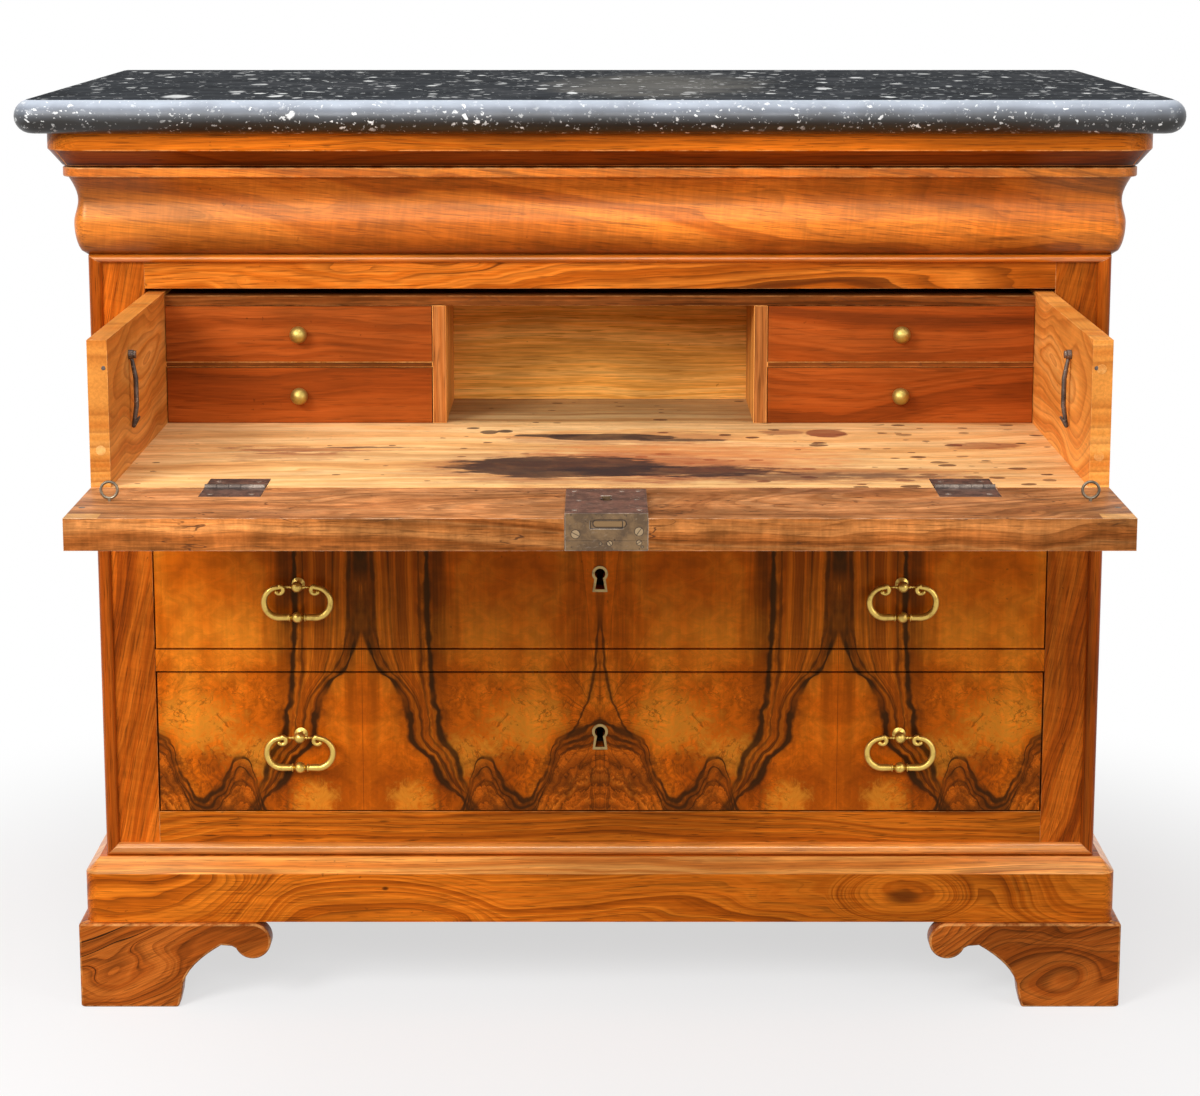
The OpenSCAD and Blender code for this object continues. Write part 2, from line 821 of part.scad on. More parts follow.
// The space of the lock's case and edge plate in the flap
module lock_space(gap) {
    side = lock_w / 2 + gap;
    board(lock_x - side, lock_x + side, flap_front - 1, flap_front + lock_len + gap,
        surface_z - lock_depth - gap, surface_z + lock_proud);
    board(lock_x - side, lock_x + side, flap_front - 1, flap_front + edge_plate_t + gap,
        surface_z - flap_t - 1, surface_z);
}

module flap_lock()
    color(iron) difference() {
        union() {
            board(lock_x - lock_w / 2, lock_x + lock_w / 2, flap_front, flap_front + lock_len,
                surface_z - lock_depth, surface_z + lock_proud);
            board(lock_x - lock_w / 2, lock_x + lock_w / 2, flap_front, flap_front + edge_plate_t,
                surface_z - flap_t, surface_z);
            translate([lock_x, flap_front + flap_key_drop, surface_z - flap_t - plate_t])
                linear_extrude(plate_t) mirror([0, 1, 0]) keyhole_shape(key_rim);
        }
        flap_keyhole();
        board(lock_x - bolt_w / 2 - bolt_gap, lock_x + bolt_w / 2 + bolt_gap,
            flap_front - 1, flap_front + bolt_len + 2,
            flap_bolt_z - bolt_t / 2 - bolt_gap, flap_bolt_z + bolt_t / 2 + bolt_gap);
    }

module flap_bolt()
    color(iron) board(lock_x - bolt_w / 2, lock_x + bolt_w / 2, flap_front + 1, flap_front + 1 + bolt_len,
        flap_bolt_z - bolt_t / 2, flap_bolt_z + bolt_t / 2);

module flap_hinge_leaves()
    color(iron) both_sides() {
        translate([0, axis_y, surface_z]) mirror([0, 1, 0]) hinge_leaf([1, 3]);
        rod_x(hinge_x - hinge_w / 2, hinge_x + hinge_w / 2, axis_y, surface_z, hinge_pin_r);
    }

module flap_eyes()
    color(iron) both_sides() translate([eye_x, axis_y - eye_reach, surface_z]) {
        translate([0, 0, -eye_shank]) cylinder(r = eye_shank_r, h = eye_shank + 3.5);
        translate([0, 0, eye_r + 1.5]) rotate([90, 0, 0]) rotate_extrude()
            translate([eye_r - eye_bar_r, 0]) circle(r = eye_bar_r, $fn = 24);
    }

// Long drawers

// The front board of a long drawer, with its keyhole and the holes of the handle posts
module long_front(z, open_h, pin_drop, key_drop) {
    top = z + open_h;
    color(burr) difference() {
        board(-half_open + front_gap, half_open - front_gap, 0, front_t, z + front_gap, top - front_gap);
        along_y(-1, front_t + 1) translate([0, top - key_drop]) keyhole_shape();
        both_sides() rod_y(handle_x, -1, front_t + 1, top - pin_drop, post_r + pin_gap);
    }
}

module long_box(z, open_h)
    color(inner_wood) {
        low = z + seat_gap;
        half = half_open - front_gap;
        drawer_sides(half, front_t, box_d, low, z + open_h - 10, drawer_t);
        board(drawer_t + glue - half, half - drawer_t - glue, front_t,
            front_t + box_d - drawer_t - glue, low + 6, low + 6 + floor_t);
    }

// The key plate and the two handle posts of a long drawer
module brasses(z, open_h, pin_drop, key_drop) {
    top = z + open_h;
    key_z = top - key_drop;
    color(brass) {
        along_y(-plate_t, 0) translate([0, key_z]) difference() {
            keyhole_shape(key_rim);
            keyhole_shape();
        }
        both_sides() difference() {
            translate([handle_x, 0, top - pin_drop]) handle_post();
            rod_x(handle_x - 10, handle_x + 10, pin_y, top - pin_drop, pin_r + pin_gap);
        }
    }
}

// A turned post: ball, stem and rosette before the drawer front, and a nut behind it
module handle_post()
    rotate([90, 0, 0]) rotate_extrude()
        polygon(concat(
            [[0, -front_t - 4], [5, -front_t - 4], [5, -front_t], [post_r, -front_t], [post_r, 0],
                [7.5, 0], [7.5, 1], [4, 2.4], [post_r, 4]],
            arc_points([0, handle_reach], ball_r, -66, 90, 14)
        ));

// A lock case behind a drawer front, with the channel of its bolt
module drawer_lock(z, open_h, key_drop) {
    top = z + open_h - front_gap;
    key_z = z + open_h - key_drop;
    color(iron) difference() {
        board(-case_w / 2, case_w / 2, front_t, front_t + case_t, key_z - case_foot, top);
        along_y(front_t - 1, front_t + case_t + 1) translate([0, key_z]) keyhole_shape();
        board(-bolt_w / 2 - bolt_gap, bolt_w / 2 + bolt_gap,
            bolt_y - bolt_t / 2 - bolt_gap, bolt_y + bolt_t / 2 + bolt_gap, top - bolt_len - 2, top + 1);
    }
}

module drawer_bolt(z, open_h)
    color(iron) board(-bolt_w / 2, bolt_w / 2, bolt_y - bolt_t / 2, bolt_y + bolt_t / 2,
        z + open_h - front_gap - 1 - bolt_len, z + open_h - front_gap - 1);

// Right half of the bail's centre line as [x, z, radius], from below the ball to the scroll's tip
function bail_line() = concat(
    [for (x = [0, 1.5, 3, 4.5, 5.4]) [x, -bail_drop, sqrt(pow(ball_r, 2) - pow(x, 2))]],
    [[7, -bail_drop, bar_r], [7.2, -bail_drop, bar_r + 1.6], [9, -bail_drop, bar_r + 1.6],
        [9.4, -bail_drop, bar_r + 0.5]],
    [for (i = [0:14]) let (a = -90 + 180 * i / 14) [
        bail_half + bail_r * cos(a), bail_r - bail_drop + bail_r * sin(a), bar_r + 0.4 - 1.5 * i / 14
    ]],
    [for (i = [1:10]) let (a = 90 + 220 * i / 10) [
        bail_half + scroll_r * cos(a), bail_top + scroll_r * (sin(a) - 1), scroll_bar_r
    ]]
);

// Rings of points round a centre line in the X-Z plane
function bail_ring(line, i) =
    let (
        p = line[i],
        a = line[max(i - 1, 0)],
        b = line[min(i + 1, len(line) - 1)],
        d = [b[0] - a[0], b[1] - a[1]] / norm([b[0] - a[0], b[1] - a[1]])
    )
    [for (k = [0:bar_sides - 1]) let (t = 360 * k / bar_sides) [
        p[0] - d[1] * p[2] * cos(t), p[2] * sin(t), p[1] + d[0] * p[2] * cos(t)
    ]];

module bail_bar() {
    right = bail_line();
    line = concat(
        [for (i = [len(right) - 1:-1:1]) [-right[i][0], right[i][1], right[i][2]]],
        right
    );
    n = len(line);
    points = [for (i = [0:n - 1]) each bail_ring(line, i)];
    sides = [for (i = [0:n - 2], k = [0:bar_sides - 1]) let (k2 = (k + 1) % bar_sides) each [
        [i * bar_sides + k, i * bar_sides + k2, (i + 1) * bar_sides + k],
        [i * bar_sides + k2, (i + 1) * bar_sides + k2, (i + 1) * bar_sides + k]
    ]];
    first = [[for (k = [bar_sides - 1:-1:0]) k]];
    last = [[for (k = [0:bar_sides - 1]) (n - 1) * bar_sides + k]];
    polyhedron(points, concat(sides, first, last));
}

// A swinging bail: one tapering bar that ends in small scrolls, a ball below and a pin through the post
module bail(x, z)
    color(brass) translate([x, pin_y, z]) {
        bail_bar();
        rod_x(-bail_half + scroll_r, bail_half - scroll_r, 0, 0, pin_r);
    }

module middle_front() long_front(middle_z, middle_open_h, middle_pin_drop, middle_key_drop);

module middle_box() long_box(middle_z, middle_open_h);

module middle_brasses() brasses(middle_z, middle_open_h, middle_pin_drop, middle_key_drop);

module middle_lock() drawer_lock(middle_z, middle_open_h, middle_key_drop);

module middle_bolt() drawer_bolt(middle_z, middle_open_h);

module bail_middle_left() bail(-handle_x, middle_top - middle_pin_drop);

module bail_middle_right() bail(handle_x, middle_top - middle_pin_drop);

module lower_front() long_front(lower_z, lower_open_h, lower_pin_drop, lower_key_drop);

module lower_box() long_box(lower_z, lower_open_h);

module lower_brasses() brasses(lower_z, lower_open_h, lower_pin_drop, lower_key_drop);

module lower_lock() drawer_lock(lower_z, lower_open_h, lower_key_drop);

module lower_bolt() drawer_bolt(lower_z, lower_open_h);

module bail_lower_left() bail(-handle_x, lower_top - lower_pin_drop);

module bail_lower_right() bail(handle_x, lower_top - lower_pin_drop);

placed() marble_top();
placed() cornice();
placed() top_frame();
placed() frieze_returns();
placed() bead_frame();
placed() stiles();
placed() top_rail();
placed() writing_rail();
placed() middle_rail();
placed() bottom_rail();
placed() side_panel_left();
placed() side_panel_right();
placed() back_panel();
placed() frieze_deck();
placed() drawer_runners();
placed() bottom_board();
placed() plinth();
placed() foot_front_left();
placed() foot_front_right();
placed() foot_rear_left();
placed() foot_rear_right();
placed() glue_blocks();
placed() frieze_front();
placed() frieze_box();
placed() writing_board();
placed() side_board_left();
placed() side_board_right();
placed() writing_frame();
placed() fitting_top();
placed() fitting_partitions();
placed() writing_board_irons();
placed() stay_hook_left();
placed() stay_hook_right();
placed() small_drawer_upper_left();
placed() small_drawer_lower_left();
placed() small_drawer_upper_right();
placed() small_drawer_lower_right();
placed() knob_upper_left();
placed() knob_lower_left();
placed() knob_upper_right();
placed() knob_lower_right();
placed() flap();
placed() flap_hinge_leaves();
placed() flap_lock();
placed() flap_bolt();
placed() flap_eyes();
placed() middle_front();
placed() middle_box();
placed() middle_brasses();
placed() middle_lock();
placed() middle_bolt();
placed() bail_middle_left();
placed() bail_middle_right();
placed() lower_front();
placed() lower_box();
placed() lower_brasses();
placed() lower_lock();
placed() lower_bolt();
placed() bail_lower_left();
placed() bail_lower_right();
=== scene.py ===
# %% [markdown]
# # A walnut secretary chest
# This lesson dresses a finished mechanical model of a writing chest. The model gives every board, hinge
# and handle its exact place, and each cell below gives one kind of piece its worn edges, its grain or its
# metal. We start by loading the model, because everything else is measured from it.

# %% Load the model and measure it
import json
import math

import bmesh
import bpy
from mathutils import Matrix, Vector


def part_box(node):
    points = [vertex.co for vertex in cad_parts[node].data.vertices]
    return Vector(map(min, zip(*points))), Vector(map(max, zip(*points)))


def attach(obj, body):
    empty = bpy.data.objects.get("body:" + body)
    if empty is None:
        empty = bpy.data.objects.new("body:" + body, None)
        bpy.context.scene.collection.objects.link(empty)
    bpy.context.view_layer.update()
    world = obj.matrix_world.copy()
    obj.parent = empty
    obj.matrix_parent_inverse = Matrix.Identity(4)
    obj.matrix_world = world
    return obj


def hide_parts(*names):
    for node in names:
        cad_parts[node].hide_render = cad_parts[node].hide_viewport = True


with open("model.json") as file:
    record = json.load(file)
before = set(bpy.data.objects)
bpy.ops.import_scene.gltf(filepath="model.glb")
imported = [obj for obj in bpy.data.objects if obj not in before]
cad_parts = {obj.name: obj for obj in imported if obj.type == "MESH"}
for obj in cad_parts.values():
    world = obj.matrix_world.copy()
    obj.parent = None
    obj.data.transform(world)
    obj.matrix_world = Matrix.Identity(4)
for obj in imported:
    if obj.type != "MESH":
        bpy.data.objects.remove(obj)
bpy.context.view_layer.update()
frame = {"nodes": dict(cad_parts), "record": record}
MM = 0.001
front_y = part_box("stiles")[0].y
surface_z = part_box("writing_board")[1].z
DRAWER_OUT = 0.370
hinge_y = front_y - DRAWER_OUT

# %% [markdown]
# ## Camera
# The photograph was taken from about three metres, a little above the marble, with the camera tipped
# slightly down. A long lens keeps the verticals nearly straight. The small shift moves the picture up
# without tipping the camera more, as a view camera does.

# %% Camera
EYE_DISTANCE = 3.1
EYE_HEIGHT = 1.216
TIP_DOWN = math.radians(10.0)
camera_data = bpy.data.cameras.new("camera")
camera_data.lens = 84.6
camera_data.sensor_width = 36.0
camera_data.shift_y = -0.10
camera = bpy.data.objects.new("camera", camera_data)
camera.location = (0.0, front_y - EYE_DISTANCE, EYE_HEIGHT)
camera.rotation_euler = (math.pi / 2 - TIP_DOWN, 0.0, 0.0)
bpy.context.scene.collection.objects.link(camera)
bpy.context.scene.camera = camera
bpy.context.scene.view_settings.view_transform = "Standard"
print("camera at", tuple(round(v, 3) for v in camera.location))

# %% [markdown]
# ## A short way to write materials
# A material here is a little machine of noise, ramps and mixes. Writing each node out takes five lines, so
# the class below keeps one material under construction. Each of its methods adds a node or two and gives
# back the output, and the recipes further down then read almost like sentences. `plus`, `minus`, `times`
# and `over` are sums, and `level` turns a range of numbers into a mask from 0 to 1.


# %% The material workbench
def tone(red, green, blue):
    """A colour as a painter's chart gives it, 0 to 255, made linear for the shader."""
    parts = [v / 255 for v in (red, green, blue)]
    return tuple(v / 12.92 if v < 0.04045 else ((v + 0.055) / 1.055) ** 2.4 for v in parts) + (1.0,)


class Workbench:
    """One material under construction: its nodes, its sums and its places."""

    def __init__(self, name):
        self.material = bpy.data.materials.new(name)
        self.material.use_nodes = True
        self.nodes = self.material.node_tree.nodes
        self.links = self.material.node_tree.links
        self.shader = self.nodes["Principled BSDF"]
        self.place = self.add("TexCoord").outputs["Object"]

    def add(self, kind, inputs=None, **settings):
        made = self.nodes.new("ShaderNode" + kind)
        for key, value in settings.items():
            setattr(made, key, value)
        for key, value in (inputs or {}).items():
            self.plug(made.inputs[key], value)
        return made

    def plug(self, socket, value):
        if isinstance(value, bpy.types.NodeSocket):
            self.links.new(value, socket)
        else:
            socket.default_value = value

    def calc(self, operation, a, b=0.0, c=0.0):
        return self.add("Math", {0: a, 1: b, 2: c}, operation=operation).outputs[0]

    def plus(self, a, b):
        return self.calc("ADD", a, b)

    def minus(self, a, b):
        return self.calc("SUBTRACT", a, b)

    def times(self, a, b):
        return self.calc("MULTIPLY", a, b)

    def over(self, a, b):
        return self.calc("DIVIDE", a, b)

    def times_plus(self, a, b, c):
        return self.calc("MULTIPLY_ADD", a, b, c)

    def larger(self, a, b):
        return self.calc("MAXIMUM", a, b)

    def ellipse(self, a, b, half=(1.0, 1.0)):
        """1 on the rim of an ellipse with these half axes, and less than 1 inside it."""
        rounds = [self.calc("POWER", self.over(part, reach), 2.0) for part, reach in zip((a, b), half)]
        return self.plus(*rounds)

    def near(self, value, target, wide, thin):
        """1 where value is within thin of target, falling to 0 where it is further off than wide."""
        return self.level(self.calc("ABSOLUTE", self.minus(value, target)), wide, thin)

    def level(self, value, low, high, start=0.0, end=1.0):
        """Turns low..high into start..end with soft ends."""
        wires = {"Value": value, "From Min": low, "From Max": high, "To Min": start, "To Max": end}
        return self.add("MapRange", wires, interpolation_type="SMOOTHSTEP").outputs[0]

    def curve(self, value, points, across, up):
        """Reads a smooth curve through points in millimetres, over the ranges across and up."""
        wide, tall = across[1] - across[0], up[1] - up[0]
        part = self.over(self.minus(value, across[0] * MM), wide * MM)
        made = self.add("FloatCurve", {"Value": part})
        spots = [((a - across[0]) / wide, (b - up[0]) / tall) for a, b in points]
        line = made.mapping.curves[0]
        line.points[0].location = spots[0]
        line.points[-1].location = spots[-1]
        for spot in spots[1:-1]:
            line.points.new(*spot)
        made.mapping.update()
        return self.times_plus(made.outputs[0], tall * MM, up[0] * MM)

    def turn(self, where, angles=(0.0, 0.0, 0.0), shift=(0.0, 0.0, 0.0)):
        return self.add("Mapping", {"Vector": where, "Rotation": angles, "Location": shift}).outputs[0]

    def stretch(self, where, factors):
        return self.add("VectorMath", {0: where, 1: factors}, operation="MULTIPLY").outputs[0]

    def split(self, where):
        parts = self.add("SeparateXYZ", {0: where}).outputs
        return parts[0], parts[1], parts[2]

    def join(self, x, y, z):
        return self.add("CombineXYZ", {0: x, 1: y, 2: z}).outputs[0]


print("workbench ready")

# %% [markdown]
# ## Patterns and colours
# Three patterns are enough for this chest. Noise gives clouds and fibres, noise along a single number gives
# growth rings, and cells give shells and flecks. A ramp turns a pattern into colours. `shadow` multiplies a
# colour by a pattern, which keeps its hue, while `mix` lays another colour over it.


# %% Patterns and colours
class Finish(Workbench):
    """A workbench that can also draw patterns, colours and the shine."""

    def noise(self, where, scale=1.0, detail=2.0, roughness=0.5, distortion=0.0):
        wires = {"Vector": where, "Scale": scale, "Detail": detail, "Roughness": roughness,
                 "Distortion": distortion}
        return self.add("TexNoise", wires).outputs["Fac"]

    def lines(self, value, scale=1.0, detail=2.0, roughness=0.5):
        """Noise along one number only, so that equal numbers get equal tones, as growth rings do."""
        wires = {"W": value, "Scale": scale, "Detail": detail, "Roughness": roughness}
        return self.add("TexNoise", wires, noise_dimensions="1D").outputs["Fac"]

    def cells(self, where, scale=1.0, randomness=1.0):
        wires = {"Vector": where, "Scale": scale, "Randomness": randomness}
        return self.add("TexVoronoi", wires).outputs

    def ramp(self, value, stops):
        made = self.add("ValToRGB", {"Fac": value})
        elements = made.color_ramp.elements
        while len(elements) < len(stops):
            elements.new(0.5)
        for element, (position, colour) in zip(elements, sorted(stops, key=lambda stop: stop[0])):
            element.position = position
            element.color = colour
        return made.outputs["Color"]

    def mix(self, amount, a, b, blend="MIX"):
        made = self.add("Mix", {0: amount, 6: a, 7: b}, data_type="RGBA", blend_type=blend)
        return made.outputs[2]

    def shadow(self, colour, value, low, high, dark, bright, amount=1.0):
        """Darkens or brightens a colour where value runs from low to high."""
        factor = self.level(value, low, high, dark, bright)
        return self.mix(amount, colour, self.join(factor, factor, factor), "MULTIPLY")

    def bump(self, height, strength=0.3, distance=0.001):
        wires = {"Height": height, "Strength": strength, "Distance": distance}
        self.plug(self.shader.inputs["Normal"], self.add("Bump", wires).outputs[0])

    def shade(self, **values):
        for name, value in values.items():
            self.plug(self.shader.inputs[name.replace("_", " ")], value)


print("patterns ready")

# %% [markdown]
# ## Wood
# A board is a slice through growth rings. Seen from its side, the rings run as long wavy lines along the
# grain. The recipe takes the distance across the grain, bends it with slow noise, and reads a tone for it
# from noise along one number, so that equal distances get equal tones. Old polished walnut is mostly one
# warm colour with soft clouds in it, and only a few of its lines are really dark. So the rings stay faint,
# and a second reading picks out single veins. Short pores and fine fibres lie over that. `curl` adds the
# soft bars that cross the grain where a trunk forked.

# %% Wood recipe
ALONG = {
    "X": (0.0, 0.0, 0.0),
    "Y": (0.0, 0.0, -math.pi / 2),
    "Z": (0.0, math.pi / 2, 0.0),
}


def knot_field(finish, centre, half):
    """1 in the heart of a knot, falling softly to 0 at the edge of an ellipse, in front view metres."""
    x, y, z = finish.split(finish.place)
    away = finish.ellipse(finish.minus(x, centre[0]), finish.minus(z, centre[1]), half)
    return finish.level(away, 1.0, 0.0)


def grain(finish, along, lean, swirl, seed, knots=()):
    """Coordinates with the grain along their X, and the bent distance across the grain."""
    angles = ALONG[along]
    shift = (seed, seed * 0.7, seed * 1.3)
    turned = finish.turn(finish.place, (angles[0], angles[1] + lean, angles[2]), shift)
    slow = finish.noise(finish.stretch(turned, (1.9, 6.0, 6.0)), 1.0, 3.0, 0.45, 0.6)
    x, y, z = finish.split(turned)
    across = finish.times_plus(y, 0.6, z)
    for centre, half, push in knots:
        across = finish.times_plus(knot_field(finish, centre, half), push, across)
    return turned, finish.times_plus(slow, swirl, across)


def wood_colour(finish, tones, along="X", lean=0.0, swirl=0.12, rings=60.0, seed=0.0, pores=0.5,
                veins=0.6, clouds=1.0, curl=0.0, growth=0.5, fibre=1.0, knots=(), hearts=()):
    """The colour of a board, the height of its fibres and its clouds."""
    turned, rings_at = grain(finish, along, lean, swirl, seed, knots)
    dark, deep, middle, light = tones
    bands = finish.lines(rings_at, rings, 4.0, 0.62)
    colour = finish.ramp(bands, [(0.32, deep), (0.46, middle), (0.58, light), (0.72, middle)])
    cloud = finish.noise(finish.stretch(turned, (3.2, 9.0, 9.0)), 1.0, 5.0, 0.6)
    colour = finish.shadow(colour, cloud, 0.32, 0.68, 0.66, 1.20, clouds)

    # Every ring ends in a dark line with one sharp side
    count = finish.times(rings_at, rings * 1.9)
    tooth = finish.calc("FRACT", finish.times_plus(bands, 1.6, count))
    late = finish.times(finish.calc("POWER", tooth, 3.5), finish.level(tooth, 1.0, 0.96))
    lively = finish.noise(finish.stretch(turned, (5.0, 24.0, 24.0)), 1.0, 3.0, 0.6)
    late = finish.times(late, finish.level(lively, 0.34, 0.60, 0.15, growth))
    colour = finish.mix(late, colour, dark)

    fibres = finish.noise(finish.stretch(turned, (14.0, 520.0, 520.0)), 1.0, 3.0, 0.65)
    colour = finish.shadow(colour, fibres, 0.32, 0.68, 0.76, 1.14, fibre)
    if curl:
        bars = finish.noise(finish.stretch(turned, (150.0, 16.0, 16.0)), 1.0, 3.0, 0.6, 0.5)
        colour = finish.shadow(colour, bars, 0.32, 0.68, 0.74, 1.16, curl)
    single = finish.lines(finish.plus(rings_at, 7.0), rings * 0.8, 4.0, 0.68)
    strong = finish.noise(finish.stretch(turned, (4.0, 14.0, 14.0)), 1.0, 3.0, 0.5)
    vein = finish.times(finish.level(single, 0.61, 0.65), finish.level(strong, 0.44, 0.60))
    colour = finish.mix(finish.times(vein, veins), colour, dark)
    pore = finish.level(finish.noise(finish.stretch(turned, (30.0, 760.0, 760.0)), 1.0, 1.0, 0.5), 0.60, 0.69)
    colour = finish.mix(finish.times(pore, pores), colour, dark)
    for centre, half, strength in hearts:
        heart = finish.times(knot_field(finish, centre, half), strength)
        colour = finish.mix(heart, colour, dark)
    return colour, finish.times_plus(pore, -0.7, fibres), cloud


print("grain runs along", ", ".join(ALONG))

# %% [markdown]
# ## Wear
# Nothing on an old chest is clean. Hands rub the polish from its edges, every board has dents, and one
# that was worked on gets cracks and blotches. Two of these functions paint shade instead: a dark tone
# along the edges of the drawer fronts for the gaps round them, and bands that darken a moulding by
# height. Each of these is a function that takes a colour and gives it back changed.

# %% Wear
WORN_GLOW = tone(246, 176, 104)
# Painted shadow, laid along the edges of the drawer fronts for the gaps round them.
PAINTED_GAP_SHADOW = tone(26, 11, 5)


def rubbed(finish, colour, amount, glow=WORN_GLOW, least=0.0):
    """The pale broken line that hands and cloths leave along an edge; on the drawer fronts, painted shadow in
    the gap.
    """
    rub = finish.noise(finish.place, 45.0, 5.0, 0.7)
    return finish.mix(finish.level(rub, 0.36, 0.66, least, amount), colour, glow)


def darken_by_height(finish, colour, bands):
    """Darkens a colour in bands by height: pairs of a height in metres and how much light is left."""
    x, y, z = finish.split(finish.place)
    low, high = bands[0][0], bands[-1][0]
    part = finish.over(finish.minus(z, low), high - low)
    stops = [((height - low) / (high - low), (left, left ** 1.2, left ** 1.5, 1.0)) for height, left in bands]
    return finish.mix(1.0, colour, finish.ramp(part, stops), "MULTIPLY")


def knocks(finish, colour, amount=0.5):
    """Small dark dents and specks that two centuries leave everywhere."""
    speck = finish.noise(finish.place, 170.0, 2.0, 0.5)
    patch = finish.noise(finish.place, 11.0, 2.0, 0.5)
    mask = finish.times(finish.level(speck, 0.70, 0.76), finish.level(patch, 0.48, 0.62))
    return finish.mix(finish.times(mask, amount), colour, tone(54, 24, 8))


def patina(finish, colour, amount=1.0, scratches=0.0):
    """Sleeve dirt, blotches, dark cracks and a few pale scratches on a surface that was worked on."""
    blotch = finish.noise(finish.stretch(finish.place, (13.0, 22.0, 22.0)), 1.0, 7.0, 0.70)
    colour = finish.shadow(colour, blotch, 0.36, 0.64, 1.20, 0.68, amount)
    fine = finish.noise(finish.stretch(finish.place, (45.0, 90.0, 90.0)), 1.0, 5.0, 0.70)
    colour = finish.shadow(colour, fine, 0.34, 0.66, 1.12, 0.82, amount)
    region = finish.noise(finish.place, 9.0, 3.0, 0.6)
    turned = finish.turn(finish.place, (0.0, 0.0, 0.5), (4.0, 2.0, 1.0))
    crack_at = finish.stretch(finish.place, (9.0, 40.0, 40.0))
    scratch_at = finish.stretch(turned, (7.0, 30.0, 30.0))
    for where, low, high, paint, strength, wide in (
            (crack_at, 0.48, 0.58, tone(58, 36, 28), 0.85 * amount, 0.008),
            (scratch_at, 0.52, 0.42, tone(236, 190, 150), scratches, 0.0025)):
        on_line = finish.near(finish.noise(where, 1.0, 3.0, 0.5), 0.5, wide, wide * 0.3)
        line = finish.times(on_line, finish.level(region, low, high))
        colour = finish.mix(finish.times(line, strength), colour, paint)
    return colour


print("wear ready")

# %% [markdown]
# ## Polish
# Old shellac is amber, so it tints what it reflects, and a specular tint does the same. The fibres make a
# very shallow bump under it. Where the cloud noise is bright the polish is a little smoother, because no
# hand rubs evenly. `wood` then puts cut, wear and polish together.

# %% Polish, and a whole board
AMBER_SHINE = (1.0, 0.62, 0.26, 1.0)


def polish(finish, colour, height, cloud, gloss, shine, coat=0.0, bumps=0.10, soft=0.16):
    """Bump, roughness and shine. Mouldings that hands rub also carry a clear coat."""
    finish.bump(height, bumps, 0.0006)
    rough = finish.level(cloud, 0.2, 0.8, gloss + 0.08, gloss - 0.05)
    finish.shade(Base_Color=colour, Roughness=rough, Specular_IOR_Level=shine, Specular_Tint=AMBER_SHINE,
                 Coat_Weight=coat, Coat_Roughness=soft)


def wood(name, tones, gloss=0.32, shine=0.2, coat=0.0, soft=0.16, worn=0.0, glow=WORN_GLOW, least=0.0,
         dents=0.5, settled=None, used=0.0, fade=None, **figure):
    """A finished board: cut, darkened in bands by height, given painted light and shade from left to right,
    used, dented, rubbed and polished.
    """
    finish = Finish(name)
    colour, height, cloud = wood_colour(finish, tones, **figure)
    # Darker bands by height; on the ogee and the slope under the cornice they are painted shade.
    if settled:
        colour = darken_by_height(finish, colour, settled)
    # Painted light and shade across the chest, from its left end to its right.
    if fade:
        x, y, z = finish.split(finish.place)
        colour = finish.shadow(colour, x, *fade)
    if used:
        colour = patina(finish, colour, used)
    colour = knocks(finish, colour, dents)
    if worn:
        colour = rubbed(finish, colour, worn, glow, least)
    polish(finish, colour, height, cloud, gloss, shine, coat, soft=soft)
    return finish.material


print("wood recipe ready")

# %% [markdown]
# ## Tones
# A wood is four tones here: the dark of its veins, a deep and a middle tone, and its lights. Most are
# written as seen in plain light, but some carry painted light and shade. The same walnut needs several
# sets, because a rail in the light looks honey coloured, and a foot in the shade looks like chestnut:
# the chestnut set is painted shade on the feet, the russet one painted shade under the cornice, and the
# brightest set a painted highlight on the plinth's bevel and the lower bead.

# %% Tones
HONEY = (tone(66, 26, 4), tone(150, 66, 6), tone(190, 92, 14), tone(216, 116, 26))
AMBER = (tone(88, 36, 6), tone(172, 82, 14), tone(208, 108, 26), tone(232, 132, 42))
FAWN = (tone(62, 24, 4), tone(150, 62, 8), tone(188, 86, 14), tone(212, 108, 26))
RUSSET = (tone(60, 22, 4), tone(146, 60, 8), tone(180, 80, 14), tone(204, 102, 26))
CHESTNUT = (tone(48, 20, 6), tone(132, 60, 14), tone(166, 80, 22), tone(188, 100, 34))
RED = (tone(50, 20, 8), tone(118, 50, 14), tone(146, 64, 18), tone(166, 80, 28))
# Painted highlight tones, for the plinth's bevel and the lower bead.
PAINTED_HIGHLIGHT = (tone(132, 64, 18), tone(220, 122, 44), tone(246, 152, 66), tone(254, 174, 88))
PALE = (tone(140, 86, 40), tone(218, 156, 94), tone(242, 186, 118), tone(252, 208, 146))
PINE = (tone(140, 76, 28), tone(196, 118, 46), tone(220, 144, 64), tone(236, 168, 88))
GOLDEN = (tone(150, 92, 30), tone(226, 146, 58), tone(240, 166, 74), tone(250, 184, 96))
WORK = (tone(80, 46, 28), tone(160, 98, 56), tone(196, 128, 76), tone(220, 154, 100))
EDGE = (tone(66, 34, 16), tone(150, 82, 34), tone(180, 106, 50), tone(202, 130, 70))
DUSKY = (tone(36, 16, 6), tone(92, 44, 14), tone(118, 60, 22), tone(140, 78, 34))
BARE = (tone(116, 66, 30), tone(164, 102, 52), tone(188, 124, 68), tone(206, 146, 88))

print("the honey walnut, dark to light:", [tuple(round(part, 2) for part in t[:3]) for t in HONEY])

